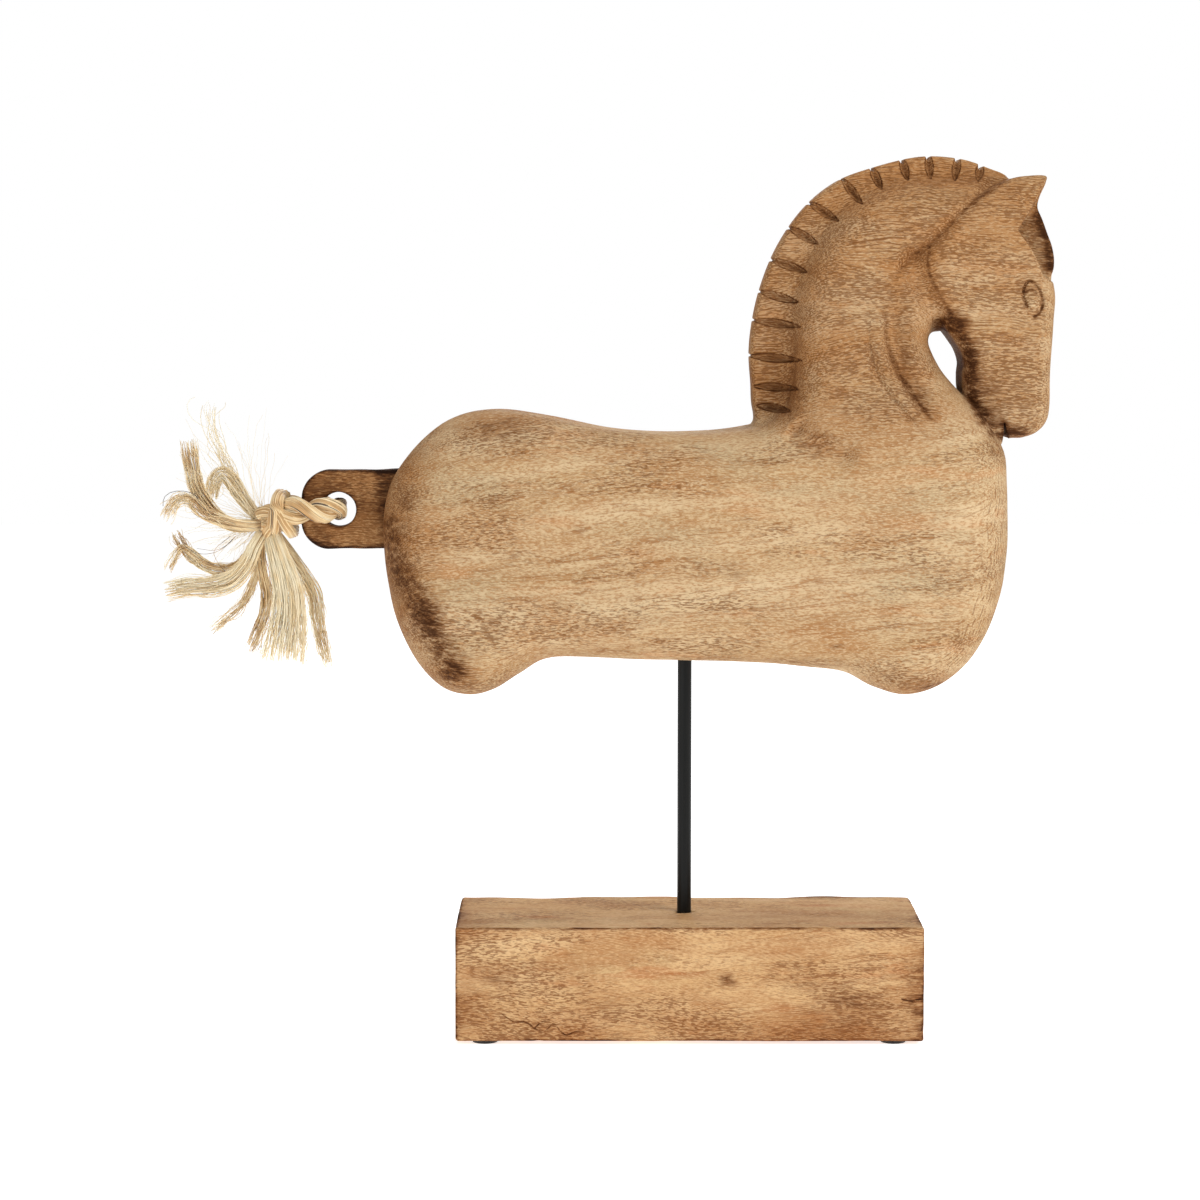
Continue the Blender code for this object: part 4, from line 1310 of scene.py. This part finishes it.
def make_tufts(material):
    pieces = []
    for number, (name, (widths, count, tone, frizz, route)) in enumerate(TUFTS.items()):
        rng = np.random.default_rng(40 + number)
        lines, u = tuft_fibres(rng, route, widths, count, frizz)
        fine = rng.uniform(0.17, 0.36, (count, 1)) * np.linspace(1, 0.55, TUFT_STEPS)
        points, faces = tubes(lines, fine)
        shade = np.clip(tone + rng.normal(0, 0.16, count) + 0.1 * np.sin(u * 9), 0, 1)
        shade = np.repeat(shade, TUFT_STEPS * FIBRE_SIDES)
        nodes = [name] if name != "tuft_hook" else []
        pieces.append(add_to_tail(name + "_fibres", points, faces, shade, material, *nodes))
    return pieces


def make_flyaways(material):
    """Loose single fibres round the tassel, and a few dark looped ones."""
    rng = np.random.default_rng(77)
    lines, tones, sizes = [], [], []
    t = np.linspace(0, 1, LOOSE_STEPS)[:, None]
    for _ in range(LOOSE_COUNT):
        angle = math.radians(rng.choice([rng.normal(128, 26), rng.normal(190, 22), rng.normal(235, 22)]))
        reach = rng.uniform(24, 64) * (0.75 if math.degrees(angle) > 160 else 1.0)
        root = np.array([-44, 0, -8]) + rng.normal(0, 2.2, 3)
        aim = np.array([math.cos(angle), rng.uniform(-0.35, 0.35), math.sin(angle)])
        bend = np.array([-aim[2], rng.normal(0, 0.4), aim[0]]) * rng.normal(0, 0.28)
        curl = np.stack([wobble(rng, 1, LOOSE_STEPS, 0.9)[0] for _ in range(3)], 1)
        lines.append(root + reach * (aim * t + bend * t**2) + curl)
        tones.append(rng.uniform(0, 0.5))
        sizes.append(rng.uniform(0.07, 0.14))
    for route in DARK_LOOPS:
        lines.append(evenly(curve_through(route), LOOSE_STEPS))
        tones.append(1.0)
        sizes.append(0.2)
    points, faces = tubes(np.array(lines), np.array(sizes)[:, None] * np.linspace(1, 0.6, LOOSE_STEPS))
    shade = np.repeat(tones, LOOSE_STEPS * FIBRE_SIDES)
    return add_to_tail("loose_fibres", points, faces, shade, material)


def make_tail(material):
    rope, path, length = make_rope(material)
    knot = make_knot(material)
    tufts = make_tufts(material)
    loose = make_flyaways(material)


# ---------------------------------------------------------------- camera, lights and floor
CAMERA_PLACE = (ROD_X - 0.0482, -1.9614, 0.4305)
CAMERA_TILT = 5.371
LENS = 103.92
SENSOR_WIDTH = 36
FURTHEST_SEEN = 60
WHITE = (1, 1, 1, 1)
AMBIENT = 0.38
FLOOR_GLOW = 0.66
LIGHTS_AIM = (0.02, 0, 0.3)


def make_camera():
    """Square on to the horse's side, a little above its middle, and far back with a long lens."""
    data = bpy.data.cameras.new("camera")
    data.lens = LENS
    data.sensor_width = SENSOR_WIDTH
    data.clip_end = FURTHEST_SEEN
    camera = link("camera", data)
    camera.location = CAMERA_PLACE
    camera.rotation_euler = (math.radians(90 - CAMERA_TILT), 0, 0)
    bpy.context.scene.camera = camera


def area_light(name, place, size, power, colour=(1, 1, 1)):
    data = bpy.data.lights.new(name, "AREA")
    data.shape = "RECTANGLE"
    data.size, data.size_y = size
    data.energy = power
    data.color = colour
    light = link(name, data)
    light.location = place
    light.rotation_euler = (Vector(LIGHTS_AIM) - Vector(place)).to_track_quat("-Z", "Y").to_euler()


def make_world():
    """White behind the object, and a dimmer white for what lights it."""
    world = bpy.data.worlds.new("studio")
    world.use_nodes = True
    bpy.context.scene.world = world
    nodes, links = world.node_tree.nodes, world.node_tree.links
    seen = nodes.new("ShaderNodeLightPath")
    share = nodes.new("ShaderNodeMapRange")
    share.inputs["To Min"].default_value = AMBIENT
    share.inputs["To Max"].default_value = 1.0
    links.new(seen.outputs["Is Camera Ray"], share.inputs["Value"])
    links.new(share.outputs[0], nodes["Background"].inputs["Strength"])
    nodes["Background"].inputs["Color"].default_value = WHITE


def make_floor():
    corners = [(-4, -4, 0), (4, -4, 0), (4, 4, 0), (-4, 4, 0)]
    mesh = mesh_of("floor", corners, [(0, 1, 2, 3)])
    s = Shader("studio_floor", Roughness=0.8, Base_Color=(0.93, 0.93, 0.93, 1))
    s.set_bsdf(Emission_Color=WHITE, Emission_Strength=FLOOR_GLOW)
    mesh.materials.append(s.material)
    link("floor", mesh)


def make_stage():
    bpy.context.scene.view_settings.view_transform = "Standard"
    make_world()
    area_light("key", (1.5, -1.3, 1.5), (0.9, 0.9), 26, (1, 0.985, 0.96))
    area_light("fill", (-1.6, -1.9, 0.7), (1.4, 1.4), 9)
    area_light("top", (-0.1, 0.3, 2.0), (1.6, 1.2), 12)
    area_light("back", (0.3, 2.2, 1.2), (1.6, 1.2), 10)
    make_floor()


def main():
    make_camera()
    make_tail(sisal())
    make_horse(carved_wood("mango_wood", MANGO))
    make_base(carved_wood("base_wood", BLOCK_WOOD))
    make_tab(carved_wood("tail_tab_wood", TAB_WOOD))
    dress_hardware()
    make_stage()


main()
